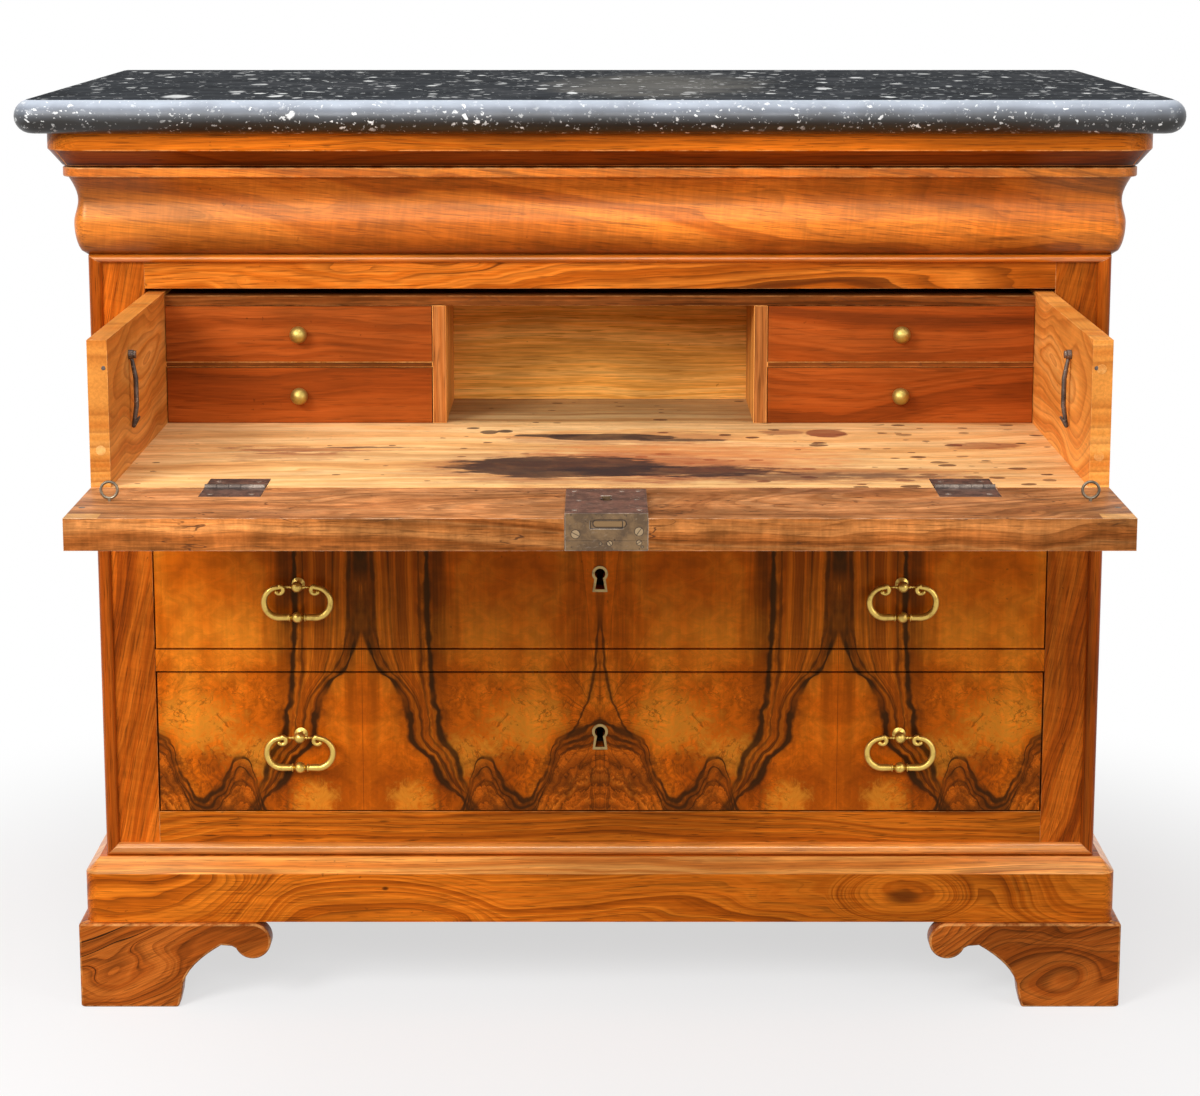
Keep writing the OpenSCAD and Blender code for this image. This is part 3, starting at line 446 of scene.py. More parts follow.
# %% [markdown]
# ## The woods of this chest
# The outside is polished walnut. Each group of boards gets its own cut: straight grain on the rails, lively
# figure and knots on the plinth, broad waves on the ogee, faint curled bars on the stiles, a lean on the
# feet. Inside, the wood is plain and less polished. Every wood is made twice, once as polished and once as
# rubbed along its edges; the small drawers get painted shadow along their edges instead. Some woods also
# carry painted light and shade: gradients from left to right, darker bands on the ogee and under the
# cornice, and bright tones on the plinth's bevel and the lower bead.

# %% Woods
finishes = {}


def two_finishes(name, tones, edge=0.5, **choices):
    """The same wood twice: as polished, and as rubbed along its edges; the small drawers get painted gap
    shadow there instead.
    """
    finishes[name] = (wood(name, tones, **choices), wood(name + "_rubbed", tones, worn=edge, **choices))


# Painted shade on the ogee: darker below the belly and in the hollow, a faint painted highlight on the belly,
# and a nearly black painted shadow in the recess above the lip.
OGEE_PAINTED_SHADE = [  # height in metres and how much light is left, from the fillet up to the lip
    (0.8640, 0.36), (0.8760, 0.54), (0.8920, 1.0), (0.9080, 1.05), (0.9250, 0.62),
    (0.9400, 0.46), (0.9500, 0.60), (0.9540, 0.90), (0.9600, 0.92), (0.9616, 0.20)]
two_finishes("cornice_wood", HONEY, swirl=0.05, rings=60, seed=3.1, veins=0.5, clouds=1.0, edge=0.5)
# Painted shade on the slope under the cornice: darker tones, and a nearly black painted shadow in the recess
# at its foot.
two_finishes("cornice_slope", RUSSET, swirl=0.05, rings=60, seed=3.6, veins=0.3, edge=0.2,
             settled=[(0.9636, 0.10), (0.9662, 0.14), (0.9680, 0.30), (0.9780, 0.44), (1.05, 0.44)])
two_finishes("ogee_wood", AMBER, swirl=0.24, rings=22, seed=7.7, lean=-0.10, gloss=0.36, shine=0.5,
             coat=0.25, soft=0.34, veins=0.5, edge=0.4, growth=0.35, curl=0.4, settled=OGEE_PAINTED_SHADE)
# The gradient numbers paint light and shade across the chest, from its left end to its right.
two_finishes("rail_wood", HONEY, swirl=0.08, rings=64, seed=1.9, veins=0.55, growth=0.7, pores=0.8,
             fade=(-0.5, 0.5, 1.10, 1.02))
two_finishes("top_rail_wood", AMBER, swirl=0.22, rings=44, seed=2.6, lean=0.03, veins=0.8, growth=0.7,
             fade=(-0.5, 0.5, 0.97, 0.90))
two_finishes("stile_wood", FAWN, along="Z", lean=-0.20, swirl=0.12, rings=40, seed=5.2, curl=0.35, veins=0.4,
             growth=0.45, fade=(-0.5, 0.5, 1.12, 0.86))
two_finishes("bead_wood", AMBER, swirl=0.03, rings=40, seed=8.4, gloss=0.24, coat=1.0, shine=0.9, veins=0.3)
# The lower bead gets the brightest tones, a painted highlight.
two_finishes("bead_low", PAINTED_HIGHLIGHT, swirl=0.03, rings=40, seed=8.6, gloss=0.26, coat=0.8, soft=0.2, shine=0.8,
             veins=0.3)
two_finishes("bead_upright", RUSSET, along="Z", swirl=0.03, rings=40, seed=8.9, gloss=0.30, veins=0.3,
             settled=[(0.26, 0.80), (0.60, 0.80)])
two_finishes("plinth_wood", HONEY, swirl=0.13, rings=50, seed=2.2, veins=0.35, clouds=0.8, edge=0.9,
             growth=0.65, fade=(-0.6, 0.6, 1.08, 1.04),
             knots=[((-0.580, 0.126), (0.24, 0.11), 0.11), ((-0.270, 0.108), (0.17, 0.08), -0.06),
                    ((0.345, 0.130), (0.090, 0.045), 0.09), ((0.600, 0.120), (0.16, 0.09), 0.06)],
             hearts=[((0.345, 0.130), (0.026, 0.011), 0.75), ((-0.245, 0.140), (0.005, 0.003), 0.9)])
# The plinth's bevel gets the same painted highlight tones.
two_finishes("plinth_bevel", PAINTED_HIGHLIGHT, swirl=0.10, rings=50, seed=2.9, coat=0.35, soft=0.32, shine=0.6, gloss=0.36,
             edge=0.6)
# The feet's chestnut tones are painted shade.
two_finishes("foot_wood", CHESTNUT, lean=0.40, swirl=0.34, rings=44, seed=9.3, veins=1.0, edge=0.6,
             growth=0.8, fade=(-0.5, 0.5, 1.04, 1.12),
             knots=[((-0.530, 0.030), (0.07, 0.05), 0.03), ((0.500, 0.045), (0.08, 0.05), -0.04)])
two_finishes("side_wood", HONEY, along="Z", swirl=0.2, rings=36, seed=4.6, veins=0.6)
# The small drawers' second copy is dark: painted shadow along their edges, for the gaps round them.
two_finishes("small_drawer_wood", RED, swirl=0.16, rings=26, seed=6.1, gloss=0.36, veins=0.25, edge=1.0,
             growth=0.3, clouds=1.2, pores=0.3, fibre=0.6, glow=PAINTED_GAP_SHADOW, least=0.85)
two_finishes("fitting_wood", DUSKY, swirl=0.06, rings=50, seed=11.0, gloss=0.4, shine=0.12, edge=0.4,
             used=0.5)
two_finishes("divider_front", EDGE, along="Z", swirl=0.05, rings=60, seed=11.4, gloss=0.4, shine=0.12)
two_finishes("divider_wood", PINE, along="Z", swirl=0.05, rings=50, seed=11.8, gloss=0.45, shine=0.1)
two_finishes("inner_wood", BARE, along="Y", swirl=0.1, rings=50, seed=14.2, gloss=0.6, shine=0.1)
two_finishes("back_wood", BARE, along="Z", swirl=0.12, rings=40, seed=15.8, gloss=0.6, shine=0.1)
two_finishes("drawer_back_wood", GOLDEN, swirl=0.08, rings=40, seed=18.3, gloss=0.5, shine=0.1, veins=0.1,
             growth=0.15)
print(len(finishes), "woods")

# %% [markdown]
# ## The matched veneer
# The two long drawers and the rail between them are faced with one run of veneer. The cabinet maker sawed
# neighbouring leaves from one walnut stump and opened them like a book, so every leaf mirrors the next.
# In a material this is one line: the ping pong of X with the width of a leaf. On the leaf itself the dark
# veins are smooth curves, in millimetres, which come down from the top, close to a V and throw a low arch
# round the keyhole. Slow noise makes them tremble, more in the burr below than in the straight wood above.

# %% The leaf and the curves of its veins
LEAF = 0.270
HEIGHTS = (220, 620)
WIDTHS = (0, 300)
OUTER_VEIN = [(220, 142), (240, 156), (261, 181), (283, 191), (312, 207), (341, 218), (370, 229), (390, 248),
              (427, 262), (480, 267), (620, 266)]
INNER_VEIN = [(220, 136), (246, 150), (268, 159), (290, 165), (326, 182), (355, 189), (400, 193), (620, 194)]
ARCH = [(0, 330), (16, 325), (32, 314), (49, 294), (69, 258), (86, 240), (100, 249), (113, 267), (127, 284),
        (141, 277), (150, 252), (162, 228), (300, 220)]
SPIRE = [(220, 76), (300, 40), (328, 24), (355, 13), (385, 7), (420, 3), (455, 1), (620, 0)]


class Leaf:
    """Where a point lies on its leaf of veneer, where the veins pass it, and the noises of that place."""

    def __init__(self, finish, folded):
        x, y, z = finish.split(finish.place)
        if folded:
            z = finish.plus(finish.times(y, -1.0), surface_z + hinge_y)
        flat_u = finish.calc("PINGPONG", x, LEAF)
        self.x, self.z = x, z
        self.flat = finish.join(flat_u, 0.0, z)
        self.shifted = finish.turn(self.flat, shift=(3.0, 0.0, 5.0))
        self.lower = finish.level(z, 0.45, 0.33)
        shake = finish.times_plus(self.lower, 0.030, 0.006)
        wide = finish.minus(finish.noise(self.flat, 15.0, 3.0, 0.52), 0.5)
        tall = finish.minus(finish.noise(self.shifted, 15.0, 3.0, 0.52), 0.5)
        self.u = finish.times_plus(wide, shake, flat_u)
        self.z_bent = finish.times_plus(tall, shake, z)
        self.outer = finish.curve(self.z_bent, OUTER_VEIN, HEIGHTS, WIDTHS)
        self.inner = finish.curve(self.z_bent, INNER_VEIN, HEIGHTS, WIDTHS)
        self.arch = finish.curve(self.u, ARCH, WIDTHS, HEIGHTS)
        self.spire = finish.curve(self.z_bent, SPIRE, HEIGHTS, WIDTHS)
        self.tall_lines = finish.noise(finish.stretch(self.flat, (150.0, 1.0, 5.0)), 1.0, 6.0, 0.68)
        self.curls = finish.noise(self.flat, 44.0, 6.0, 0.7, 2.6)
        self.smoke = finish.level(finish.noise(self.shifted, 24.0, 5.0, 0.62, 1.0), 0.46, 0.60)


print("leaves are", LEAF, "m wide and carry", len((OUTER_VEIN, INNER_VEIN, ARCH, SPIRE)), "curves")

# %% [markdown]
# ## The golden ground
# Between the veins the wood is gold and red brown, clouded and finely lined above. Below, where the roots
# began, it is burr: curled like marbled paper, with bright eyes and a few dark crinkles. Each of these is
# one noise that darkens or brightens the colour, inside a mask that says how much of it this place gets.

# %% Ground recipe
EYES = ((0.150, 0.292, 0.050), (0.085, 0.330, 0.060), (0.215, 0.240, 0.035))
CRINKLES = ((17.0, 0.026, 0.55), (42.0, 0.040, 0.25))


def gold_ground(finish, leaf):
    """The colour of the wood between the veins, and its clouds."""
    cloud = finish.noise(finish.stretch(leaf.flat, (9.0, 1.0, 6.0)), 1.0, 4.0, 0.6)
    colour = finish.ramp(cloud, [
        (0.32, tone(158, 66, 6)), (0.50, tone(214, 102, 12)), (0.66, tone(246, 140, 34))])
    zone = finish.larger(finish.level(leaf.u, 0.150, 0.180), finish.level(leaf.u, 0.060, 0.020, 0.0, 0.75))
    zone = finish.times(zone, finish.level(leaf.z, 0.32, 0.46, 0.15, 1.0))
    lined = finish.times_plus(zone, 0.7, 0.3)
    colour = finish.shadow(colour, leaf.tall_lines, 0.32, 0.68, 0.70, 1.16, lined)
    streaks = finish.noise(finish.stretch(leaf.flat, (42.0, 1.0, 2.0)), 1.0, 5.0, 0.6)
    colour = finish.shadow(colour, streaks, 0.36, 0.58, 0.36, 1.20, zone)
    mottle = finish.noise(finish.stretch(leaf.flat, (40.0, 1.0, 64.0)), 1.0, 6.0, 0.66, 0.8)
    colour = finish.shadow(colour, mottle, 0.34, 0.66, 0.84, 1.12)
    burr = finish.times(leaf.lower, finish.level(leaf.u, 0.27, 0.15, 0.25, 1.0))
    colour = finish.shadow(colour, leaf.curls, 0.36, 0.60, 0.66, 1.20, burr)
    for eye_u, eye_z, size in EYES:
        du, dz = finish.minus(leaf.u, eye_u), finish.minus(leaf.z_bent, eye_z)
        eye = finish.ellipse(du, dz, (size, size * 0.7))
        glowing = finish.level(finish.times_plus(leaf.curls, 3.2, eye), 2.6, 1.4, 0.0, 0.55)
        colour = finish.mix(glowing, colour, tone(250, 160, 48))
    for scale, thick, strength in CRINKLES:
        crinkle = finish.near(finish.noise(leaf.flat, scale, 4.0, 0.6, 1.6), 0.5, thick, 0.002)
        here = finish.times(finish.times(crinkle, burr), strength)
        here = finish.times(here, finish.level(mottle, 0.44, 0.56))
        colour = finish.mix(here, colour, tone(92, 40, 8))
    return colour, cloud


print(len(EYES), "bright eyes on each leaf")

# %% [markdown]
# ## Striped wood, ripples and rays
# Between the two veins the wood is striped, and the stripes close up where the veins do. So the stripes are
# noise along the share of the way from one vein to the other. Under the arch they follow its curve, and a
# fan of fine dark rays spreads above the keyhole. Smoke-like stain lies along the lower edge.

# %% Recipes for the figured wood


def striped_wood(finish, leaf, colour):
    """Stripes that run between the two veins."""
    share = finish.over(finish.minus(leaf.u, leaf.inner), finish.minus(leaf.outer, leaf.inner))
    inside = finish.times(finish.level(share, -0.12, 0.10), finish.level(share, 1.12, 0.90))
    striped = finish.ramp(finish.lines(share, 6.0, 3.0, 0.62), [
        (0.34, tone(64, 26, 6)), (0.42, tone(134, 58, 8)), (0.50, tone(190, 88, 12)),
        (0.62, tone(228, 122, 26))])
    striped = finish.shadow(striped, leaf.tall_lines, 0.34, 0.66, 0.60, 1.15)
    return finish.mix(finish.times(inside, 0.70), colour, striped)


def under_arch(finish, leaf, colour, below):
    """Ripples below the arch, and the stain along the drawer's lower edge."""
    ripples = finish.lines(finish.times_plus(leaf.curls, 0.030, below), 95.0, 4.0, 0.68)
    rippled = finish.ramp(ripples, [
        (0.36, tone(46, 20, 6)), (0.44, tone(140, 62, 10)), (0.54, tone(186, 88, 16)),
        (0.66, tone(222, 122, 34))])
    rippled = finish.shadow(rippled, leaf.curls, 0.36, 0.60, 0.62, 1.16)
    colour = finish.mix(finish.times(finish.level(below, -0.002, 0.006), 0.7), colour, rippled)
    stain = finish.times(leaf.smoke, finish.level(leaf.z, 0.315, 0.235, 0.0, 0.75))
    stain = finish.times(stain, finish.level(leaf.u, 0.205, 0.165))
    return finish.mix(stain, colour, tone(84, 38, 8))


def key_rays(finish, leaf, colour):
    """Fine dark rays that spread upwards over the middle seam."""
    ray = finish.calc("ARCTAN2", leaf.u, finish.minus(leaf.z, 0.335))
    fan = finish.lines(ray, 14.0, 4.0, 0.65)
    close = finish.times(finish.level(leaf.u, 0.07, 0.01), finish.level(fan, 0.56, 0.66))
    return finish.mix(finish.times(close, 0.55), colour, tone(64, 28, 6))


print("stripes, ripples and rays ready")

# %% [markdown]
# ## The dark veins
# A vein is drawn three times over: a wide brown halo, a smoky rim, and a nearly black core. All three come
# from one number, the distance from the curve. The core swells and thins along its way, and here and there
# it almost fades, because a vein that keeps one width looks like a pen stroke. Fainter veins follow the
# main ones at a short distance.

# %% Vein recipe


def dark_veins(finish, leaf, colour, below):
    """All the veins of a leaf: offset from the curve, strength, width of the core, width of the halo."""
    swell = finish.level(finish.noise(leaf.shifted, 26.0, 3.0, 0.55), 0.30, 0.70, 0.20, 1.20)
    alive = finish.level(finish.noise(leaf.flat, 13.0, 3.0, 0.6), 0.34, 0.50, 0.50, 1.0)
    from_outer = finish.minus(leaf.u, leaf.outer)
    from_inner = finish.minus(leaf.u, leaf.inner)
    from_arch = finish.times(below, 0.75)
    spire_strength = finish.times(finish.level(leaf.z, 0.470, 0.430), 0.8)
    for place, strength, core, halo in (
            (from_outer, 0.95, 0.0040, 0.020),
            (from_inner, 0.95, 0.0032, 0.014),
            (finish.plus(from_outer, 0.011), 0.7, 0.0018, 0.006),
            (finish.minus(from_inner, 0.009), 0.6, 0.0015, 0.005),
            (from_arch, 0.9, 0.0030, 0.012),
            (finish.minus(from_arch, 0.008), 0.8, 0.0016, 0.005),
            (finish.minus(from_arch, 0.015), 0.7, 0.0014, 0.004),
            (finish.minus(leaf.u, leaf.spire), spire_strength, 0.0013, 0.006)):
        off = finish.calc("ABSOLUTE", place)
        soft = finish.times(finish.level(off, halo, 0.0, 0.0, 0.30), strength)
        cloudy = finish.times(finish.level(off, halo * 1.3, halo * 0.3, 0.0, 0.45), leaf.smoke)
        soft = finish.larger(soft, finish.times(cloudy, strength))
        colour = finish.mix(soft, colour, tone(96, 42, 6))
        reach = finish.times(swell, core * 2.2)
        line = finish.times(finish.level(off, reach, finish.times(reach, 0.25)), strength)
        colour = finish.mix(finish.times(line, alive), colour, tone(44, 20, 6))
    return colour


print("vein recipe ready")

# %% [markdown]
# ## Lay the veneer
# The leaves differ a little in tone, and a hair line shows where two of them meet. The same sheet is laid
# twice: upright on the drawers, and folded down with the open flap, so that the figure runs on without a
# break when the flap is shut.

# %% Veneer on the drawers and the flap


def leaf_seams(finish, leaf, colour):
    """A tint for each leaf, and the seams between them."""
    index = finish.calc("FLOOR", finish.over(leaf.x, LEAF))
    tint = finish.add("TexWhiteNoise", {"W": index}, noise_dimensions="1D").outputs["Value"]
    colour = finish.shadow(colour, tint, 0.0, 1.0, 0.93, 1.05)
    seam = finish.calc("PINGPONG", leaf.x, LEAF)
    seam = finish.calc("MINIMUM", seam, finish.minus(LEAF, seam))
    return finish.mix(finish.level(seam, 0.0007, 0.0002, 0.0, 0.5), colour, tone(70, 30, 8))


def matched_veneer(name, folded=False, worn=0.0):
    finish = Finish(name)
    leaf = Leaf(finish, folded)
    below = finish.minus(leaf.arch, leaf.z_bent)
    colour, cloud = gold_ground(finish, leaf)
    colour = striped_wood(finish, leaf, colour)
    colour = under_arch(finish, leaf, colour, below)
    colour = key_rays(finish, leaf, colour)
    colour = dark_veins(finish, leaf, colour, below)
    colour = leaf_seams(finish, leaf, colour)
    colour = knocks(finish, colour, 0.4)
    if worn:
        # The edges of the drawer fronts get painted shadow, for the gaps round them.
        colour = rubbed(finish, colour, worn, PAINTED_GAP_SHADOW, 0.8)
    polish(finish, colour, leaf.tall_lines, cloud, 0.30, 0.2, 0.0, 0.05)
    return finish.material


finishes["veneer"] = (matched_veneer("veneer"), matched_veneer("veneer_edge", worn=0.9))
finishes["flap_face"] = (matched_veneer("flap_face", folded=True),)
print("veneer laid:", len(finishes["veneer"][0].node_tree.nodes), "nodes in its material")

# %% [markdown]
# ## Ink
# The writing surface took the daily work: ink ran over it, was wiped and soaked in along the grain. A blot
# is an ellipse whose rim is eaten by noise. The table gives the blots in the order in which they are laid:
# the red wash and the brown halos first, black ink over them, then drops of sealing colour and one old
# streak at the left.

# %% Blots


def blot(finish, centre, half, ragged=0.5, soft=0.15):
    """A mask of 1 inside a ragged ellipse on a level board, in metres."""
    x, y, z = finish.split(finish.place)
    round_part = finish.ellipse(finish.minus(x, centre[0]), finish.minus(y, centre[1]), half)
    rim = finish.noise(finish.stretch(finish.place, (22.0, 80.0, 80.0)), 1.0, 8.0, 0.68)
    ring = finish.times_plus(finish.minus(rim, 0.5), ragged * 8, round_part)
    dense = finish.level(finish.noise(finish.place, 30.0, 4.0, 0.6), 0.30, 0.62, 0.84, 1.0)
    return finish.times(finish.level(ring, 1.0 + soft, 1.0 - soft), dense)


BLACK_INK = tone(44, 40, 42)
BROWN_HALO = tone(150, 84, 58)
RED_WASH = tone(206, 112, 62)
SEALING = tone(120, 50, 38)
BLOTS = [
    # colour, strength, centre, half size, ragged, soft
    (RED_WASH, 0.55, (0.085, -0.255), (0.150, 0.085), 0.7, 0.8),
    (BROWN_HALO, 0.60, (-0.010, -0.310), (0.170, 0.085), 0.5, 0.6),
    (BROWN_HALO, 0.55, (0.190, -0.345), (0.190, 0.040), 0.8, 0.6),
    (BROWN_HALO, 0.45, (0.020, -0.135), (0.130, 0.040), 0.6, 0.5),
    (BLACK_INK, 0.92, (-0.040, -0.300), (0.112, 0.060), 0.35, 0.2),
    (BLACK_INK, 0.85, (0.080, -0.322), (0.110, 0.030), 0.6, 0.3),
    (BLACK_INK, 0.60, (0.200, -0.350), (0.120, 0.020), 0.9, 0.5),
    (BLACK_INK, 0.95, (0.008, -0.128), (0.070, 0.021), 0.25, 0.1),
    (BLACK_INK, 0.90, (-0.060, -0.118), (0.036, 0.010), 0.3, 0.1),
    (BLACK_INK, 0.80, (0.085, -0.146), (0.050, 0.009), 0.5, 0.2),
    (BLACK_INK, 0.90, (-0.121, -0.098), (0.010, 0.012), 0.2, 0.1),
    (BLACK_INK, 0.90, (-0.104, -0.092), (0.008, 0.010), 0.2, 0.1),
    (BLACK_INK, 0.85, (-0.140, -0.072), (0.007, 0.006), 0.2, 0.1),
    (SEALING, 0.85, (0.247, -0.104), (0.022, 0.026), 0.2, 0.15),
    (SEALING, 0.55, (0.200, -0.100), (0.022, 0.016), 0.6, 0.4),
    (SEALING, 0.60, (0.408, -0.180), (0.034, 0.022), 0.9, 0.3),
    (SEALING, 0.35, (-0.330, -0.240), (0.060, 0.030), 0.9, 0.5),
    (BROWN_HALO, 0.60, (-0.315, -0.205), (0.070, 0.020), 1.2, 0.2),
    (BLACK_INK, 0.70, (-0.250, -0.190), (0.050, 0.004), 0.9, 0.2),
]


print(len(BLOTS), "blots")

# %% [markdown]
# ## The writing board
# A pale hardwood board, darker towards the back where the fitting shades it. Beside the big blots lie many
# small flecks, more of them to the right where the pen was dipped. They are cells of a stretched pattern:
# a random number for each cell says whether it holds a fleck, how large and how dark.

# %% Writing board recipe


def writing_wood(name, worn=0.0):
    """The pale board with its flecks and blots."""
    finish = Finish(name)
    colour, height, cloud = wood_colour(finish, PALE, swirl=0.10, rings=44.0, seed=16.3, veins=0.25,
                                        fibre=0.5, clouds=0.6, pores=0.25, growth=0.3)
    streak = finish.noise(finish.stretch(finish.place, (5.0, 70.0, 1.0)), 1.0, 4.0, 0.6)
    colour = finish.mix(finish.level(streak, 0.54, 0.74, 0.0, 0.5), colour, tone(176, 112, 60))
    x, y, z = finish.split(finish.place)
    # Painted shade towards the back, under the fitting.
    colour = finish.shadow(colour, y, front_y - 0.01, front_y + 0.02, 1.0, 0.54)
    bent = finish.times(finish.noise(finish.place, 60.0, 3.0, 0.6), 0.9)
    flecks = finish.cells(finish.stretch(finish.place, (42.0, 62.0, 1.0)))
    number, size, shade = finish.split(flecks["Color"])
    reach = finish.times(size, finish.level(x, -0.25, 0.20, 0.16, 0.44))
    uneven = finish.times_plus(bent, 0.45, flecks["Distance"])
    spots = finish.level(uneven, finish.plus(reach, 0.24), finish.plus(reach, 0.20))
    spots = finish.times(spots, finish.calc("GREATER_THAN", number, 0.70))
    colour = finish.mix(finish.times(spots, finish.level(shade, 0.0, 1.0, 0.4, 0.95)), colour,
                        tone(86, 52, 38))
    colour = patina(finish, colour, 0.3)
    for ink, strength, centre, half, ragged, soft in BLOTS:
        mask = finish.times(blot(finish, centre, half, ragged, soft), strength)
        colour = finish.mix(mask, colour, ink)
    if worn:
        colour = rubbed(finish, colour, worn)
    polish(finish, colour, height, cloud, 0.46, 0.10)
    return finish.material


finishes["writing_wood"] = (writing_wood("writing_wood"), writing_wood("writing_wood_rubbed", 0.4))
print("writing board ready")

# %% [markdown]
# ## The flap
# The flap is browner, cracked along its grain and rubbed dark by sleeves. Light slips of wood were let in
# at its front corners when it was mended.

# %% Flap recipe
SLIP_X = 0.470
SLIP_Y = front_y - 0.4965


def flap_wood(name, worn=0.0):
    """The worn inner face of the flap."""
    finish = Finish(name)
    colour, height, cloud = wood_colour(finish, WORK, swirl=0.20, rings=34.0, seed=13.9, veins=0.5)
    x, y, z = finish.split(finish.place)
    colour = finish.shadow(colour, x, -0.3, 0.4, 1.06, 0.80)
    crack = finish.noise(finish.stretch(finish.place, (9.0, 90.0, 1.0)), 1.0, 3.0, 0.55, 0.5)
    region = finish.noise(finish.place, 7.0, 2.0, 0.5)
    cracks = finish.times(finish.level(crack, 0.66, 0.72), finish.level(region, 0.48, 0.60))
    colour = finish.mix(finish.times(cracks, 0.75), colour, tone(70, 48, 44))
    grime = finish.noise(finish.stretch(finish.place, (4.0, 16.0, 1.0)), 1.0, 4.0, 0.6)
    colour = finish.mix(finish.level(grime, 0.52, 0.74, 0.0, 0.6), colour, tone(104, 66, 52))
    beside = finish.level(finish.calc("ABSOLUTE", x), SLIP_X, SLIP_X + 0.6 * MM)
    slip = finish.times(beside, finish.level(y, SLIP_Y, SLIP_Y - 0.6 * MM))
    colour = finish.mix(finish.times(slip, 0.85), colour, tone(226, 166, 98))
    colour = patina(finish, colour, 1.0, 0.35)
    if worn:
        colour = rubbed(finish, colour, worn, tone(240, 204, 170))
    polish(finish, colour, height, cloud, 0.42, 0.12)
    return finish.material


finishes["flap_wood"] = (flap_wood("flap_wood"), flap_wood("flap_wood_rubbed", 0.95))
# The flap's edge also gets painted light and shade from left to right.
two_finishes("flap_edge_wood", EDGE, swirl=0.16, rings=40, seed=21.4, gloss=0.42, shine=0.12,
             veins=0.7, used=0.9, curl=0.5, fade=(-0.4, 0.4, 1.14, 0.94))
print("flap ready")

# %% [markdown]
# ## Side boards
# The boards beside the writing surface are resinous softwood, sawn through the heart of the tree. Such a
# face shows nested ovals and arches, because the saw cut slantwise through cone after cone. A cone in a
# material is the distance from a leaning axis, and the rings are lines of equal distance.

# %% Side board recipe


def side_board_wood(name, worn=0.0):
    """Softwood sawn through the heart, with rings as lines of equal distance from a cone's axis."""
    finish = Finish(name)
    x, y, z = finish.split(finish.place)
    bend = finish.noise(finish.stretch(finish.place, (2.0, 5.0, 7.0)), 1.0, 1.5, 0.4)
    along = finish.times(finish.minus(y, -0.17), 0.20)
    height = finish.minus(z, 0.775)
    height = finish.times_plus(bend, 0.11, finish.minus(height, 0.055))
    cone = finish.calc("SQRT", finish.ellipse(along, height))
    rings = finish.lines(cone, 60.0, 2.0, 0.5)
    colour = finish.ramp(rings, [(0.32, tone(202, 118, 46)), (0.50, tone(222, 144, 64)),
                                 (0.66, tone(238, 168, 88))])
    count = finish.times(cone, 85.0)
    tooth = finish.calc("FRACT", finish.times_plus(rings, 0.8, count))
    late = finish.times(finish.calc("POWER", tooth, 3.0), finish.level(tooth, 1.0, 0.88, 0.0, 0.70))
    colour = finish.mix(late, colour, tone(150, 74, 22))
    fibres = finish.noise(finish.stretch(finish.place, (300.0, 12.0, 300.0)), 1.0, 3.0, 0.6)
    colour = finish.shadow(colour, fibres, 0.3, 0.7, 0.86, 1.08)
    cloud = finish.noise(finish.place, 8.0, 4.0, 0.6)
    colour = finish.shadow(colour, cloud, 0.3, 0.7, 0.84, 1.10)
    # Painted light: the right board's inner face brighter than the left's.
    colour = finish.shadow(colour, x, -0.48, 0.48, 0.93, 1.14)
    colour = knocks(finish, colour, 0.7)
    if worn:
        colour = rubbed(finish, colour, worn, tone(250, 200, 130))
    polish(finish, colour, fibres, cloud, 0.45, 0.12)
    return finish.material


finishes["side_board_wood"] = (side_board_wood("side_board_wood"), side_board_wood("side_board_rubbed", 0.5))
print("side boards sawn")

# %% [markdown]
# ## Metals
# The handles are polished brass with a brown film left in the hollows. The lock, hinges, hooks and eyes
# are wrought iron, worn brown, with scratches that show the bright metal below. Where parts rub on each
# other, as on the knuckles of a hinge, iron stays bright.

# %% Metal recipes


def brass(name, bright, film_tone, gloss=0.24):
    """Brass with a brown film in patches."""
    finish = Finish(name)
    film = finish.noise(finish.place, 120.0, 4.0, 0.6)
    colour = finish.mix(finish.level(film, 0.48, 0.72, 0.0, 0.55), bright, film_tone)
    finish.bump(finish.noise(finish.place, 420.0, 2.0, 0.5), 0.05, 0.0004)
    rough = finish.level(film, 0.4, 0.7, gloss, gloss + 0.14)
    finish.shade(Base_Color=colour, Roughness=rough, Metallic=0.92)
    return finish.material


def iron_colour(finish, light, dark, scratched=0.6):
    """Worn iron: its colour, its patches and its pits."""
    patches = finish.noise(finish.place, 60.0, 5.0, 0.65)
    colour = finish.mix(finish.level(patches, 0.35, 0.65), dark, light)
    leaning = finish.turn(finish.place, (0.0, 0.3, 0.35))
    scratch = finish.noise(finish.stretch(leaning, (26.0, 520.0, 520.0)), 1.0, 2.0, 0.5, 0.6)
    colour = finish.mix(finish.level(scratch, 0.64, 0.70, 0.0, scratched), colour, tone(196, 178, 160))
    pits = finish.level(finish.noise(finish.place, 260.0, 2.0, 0.5), 0.66, 0.74)
    colour = finish.mix(finish.times(pits, 0.7), colour, tone(36, 26, 22))
    return colour, patches, pits


def iron_polish(finish, colour, patches, pits, metal=0.55, gloss=0.42):
    """Bump, roughness and shine of wrought iron."""
    finish.bump(finish.minus(patches, finish.times(pits, 0.4)), 0.25, 0.0008)
    rough = finish.level(patches, 0.3, 0.7, gloss + 0.12, gloss - 0.06)
    finish.shade(Base_Color=colour, Roughness=rough, Metallic=metal)
    return finish.material


def iron(name, light, dark, scratched=0.6, metal=0.55, gloss=0.42):
    """Plain worn iron between a light and a dark tone."""
    finish = Finish(name)
    colour, patches, pits = iron_colour(finish, light, dark, scratched)
    return iron_polish(finish, colour, patches, pits, metal, gloss)


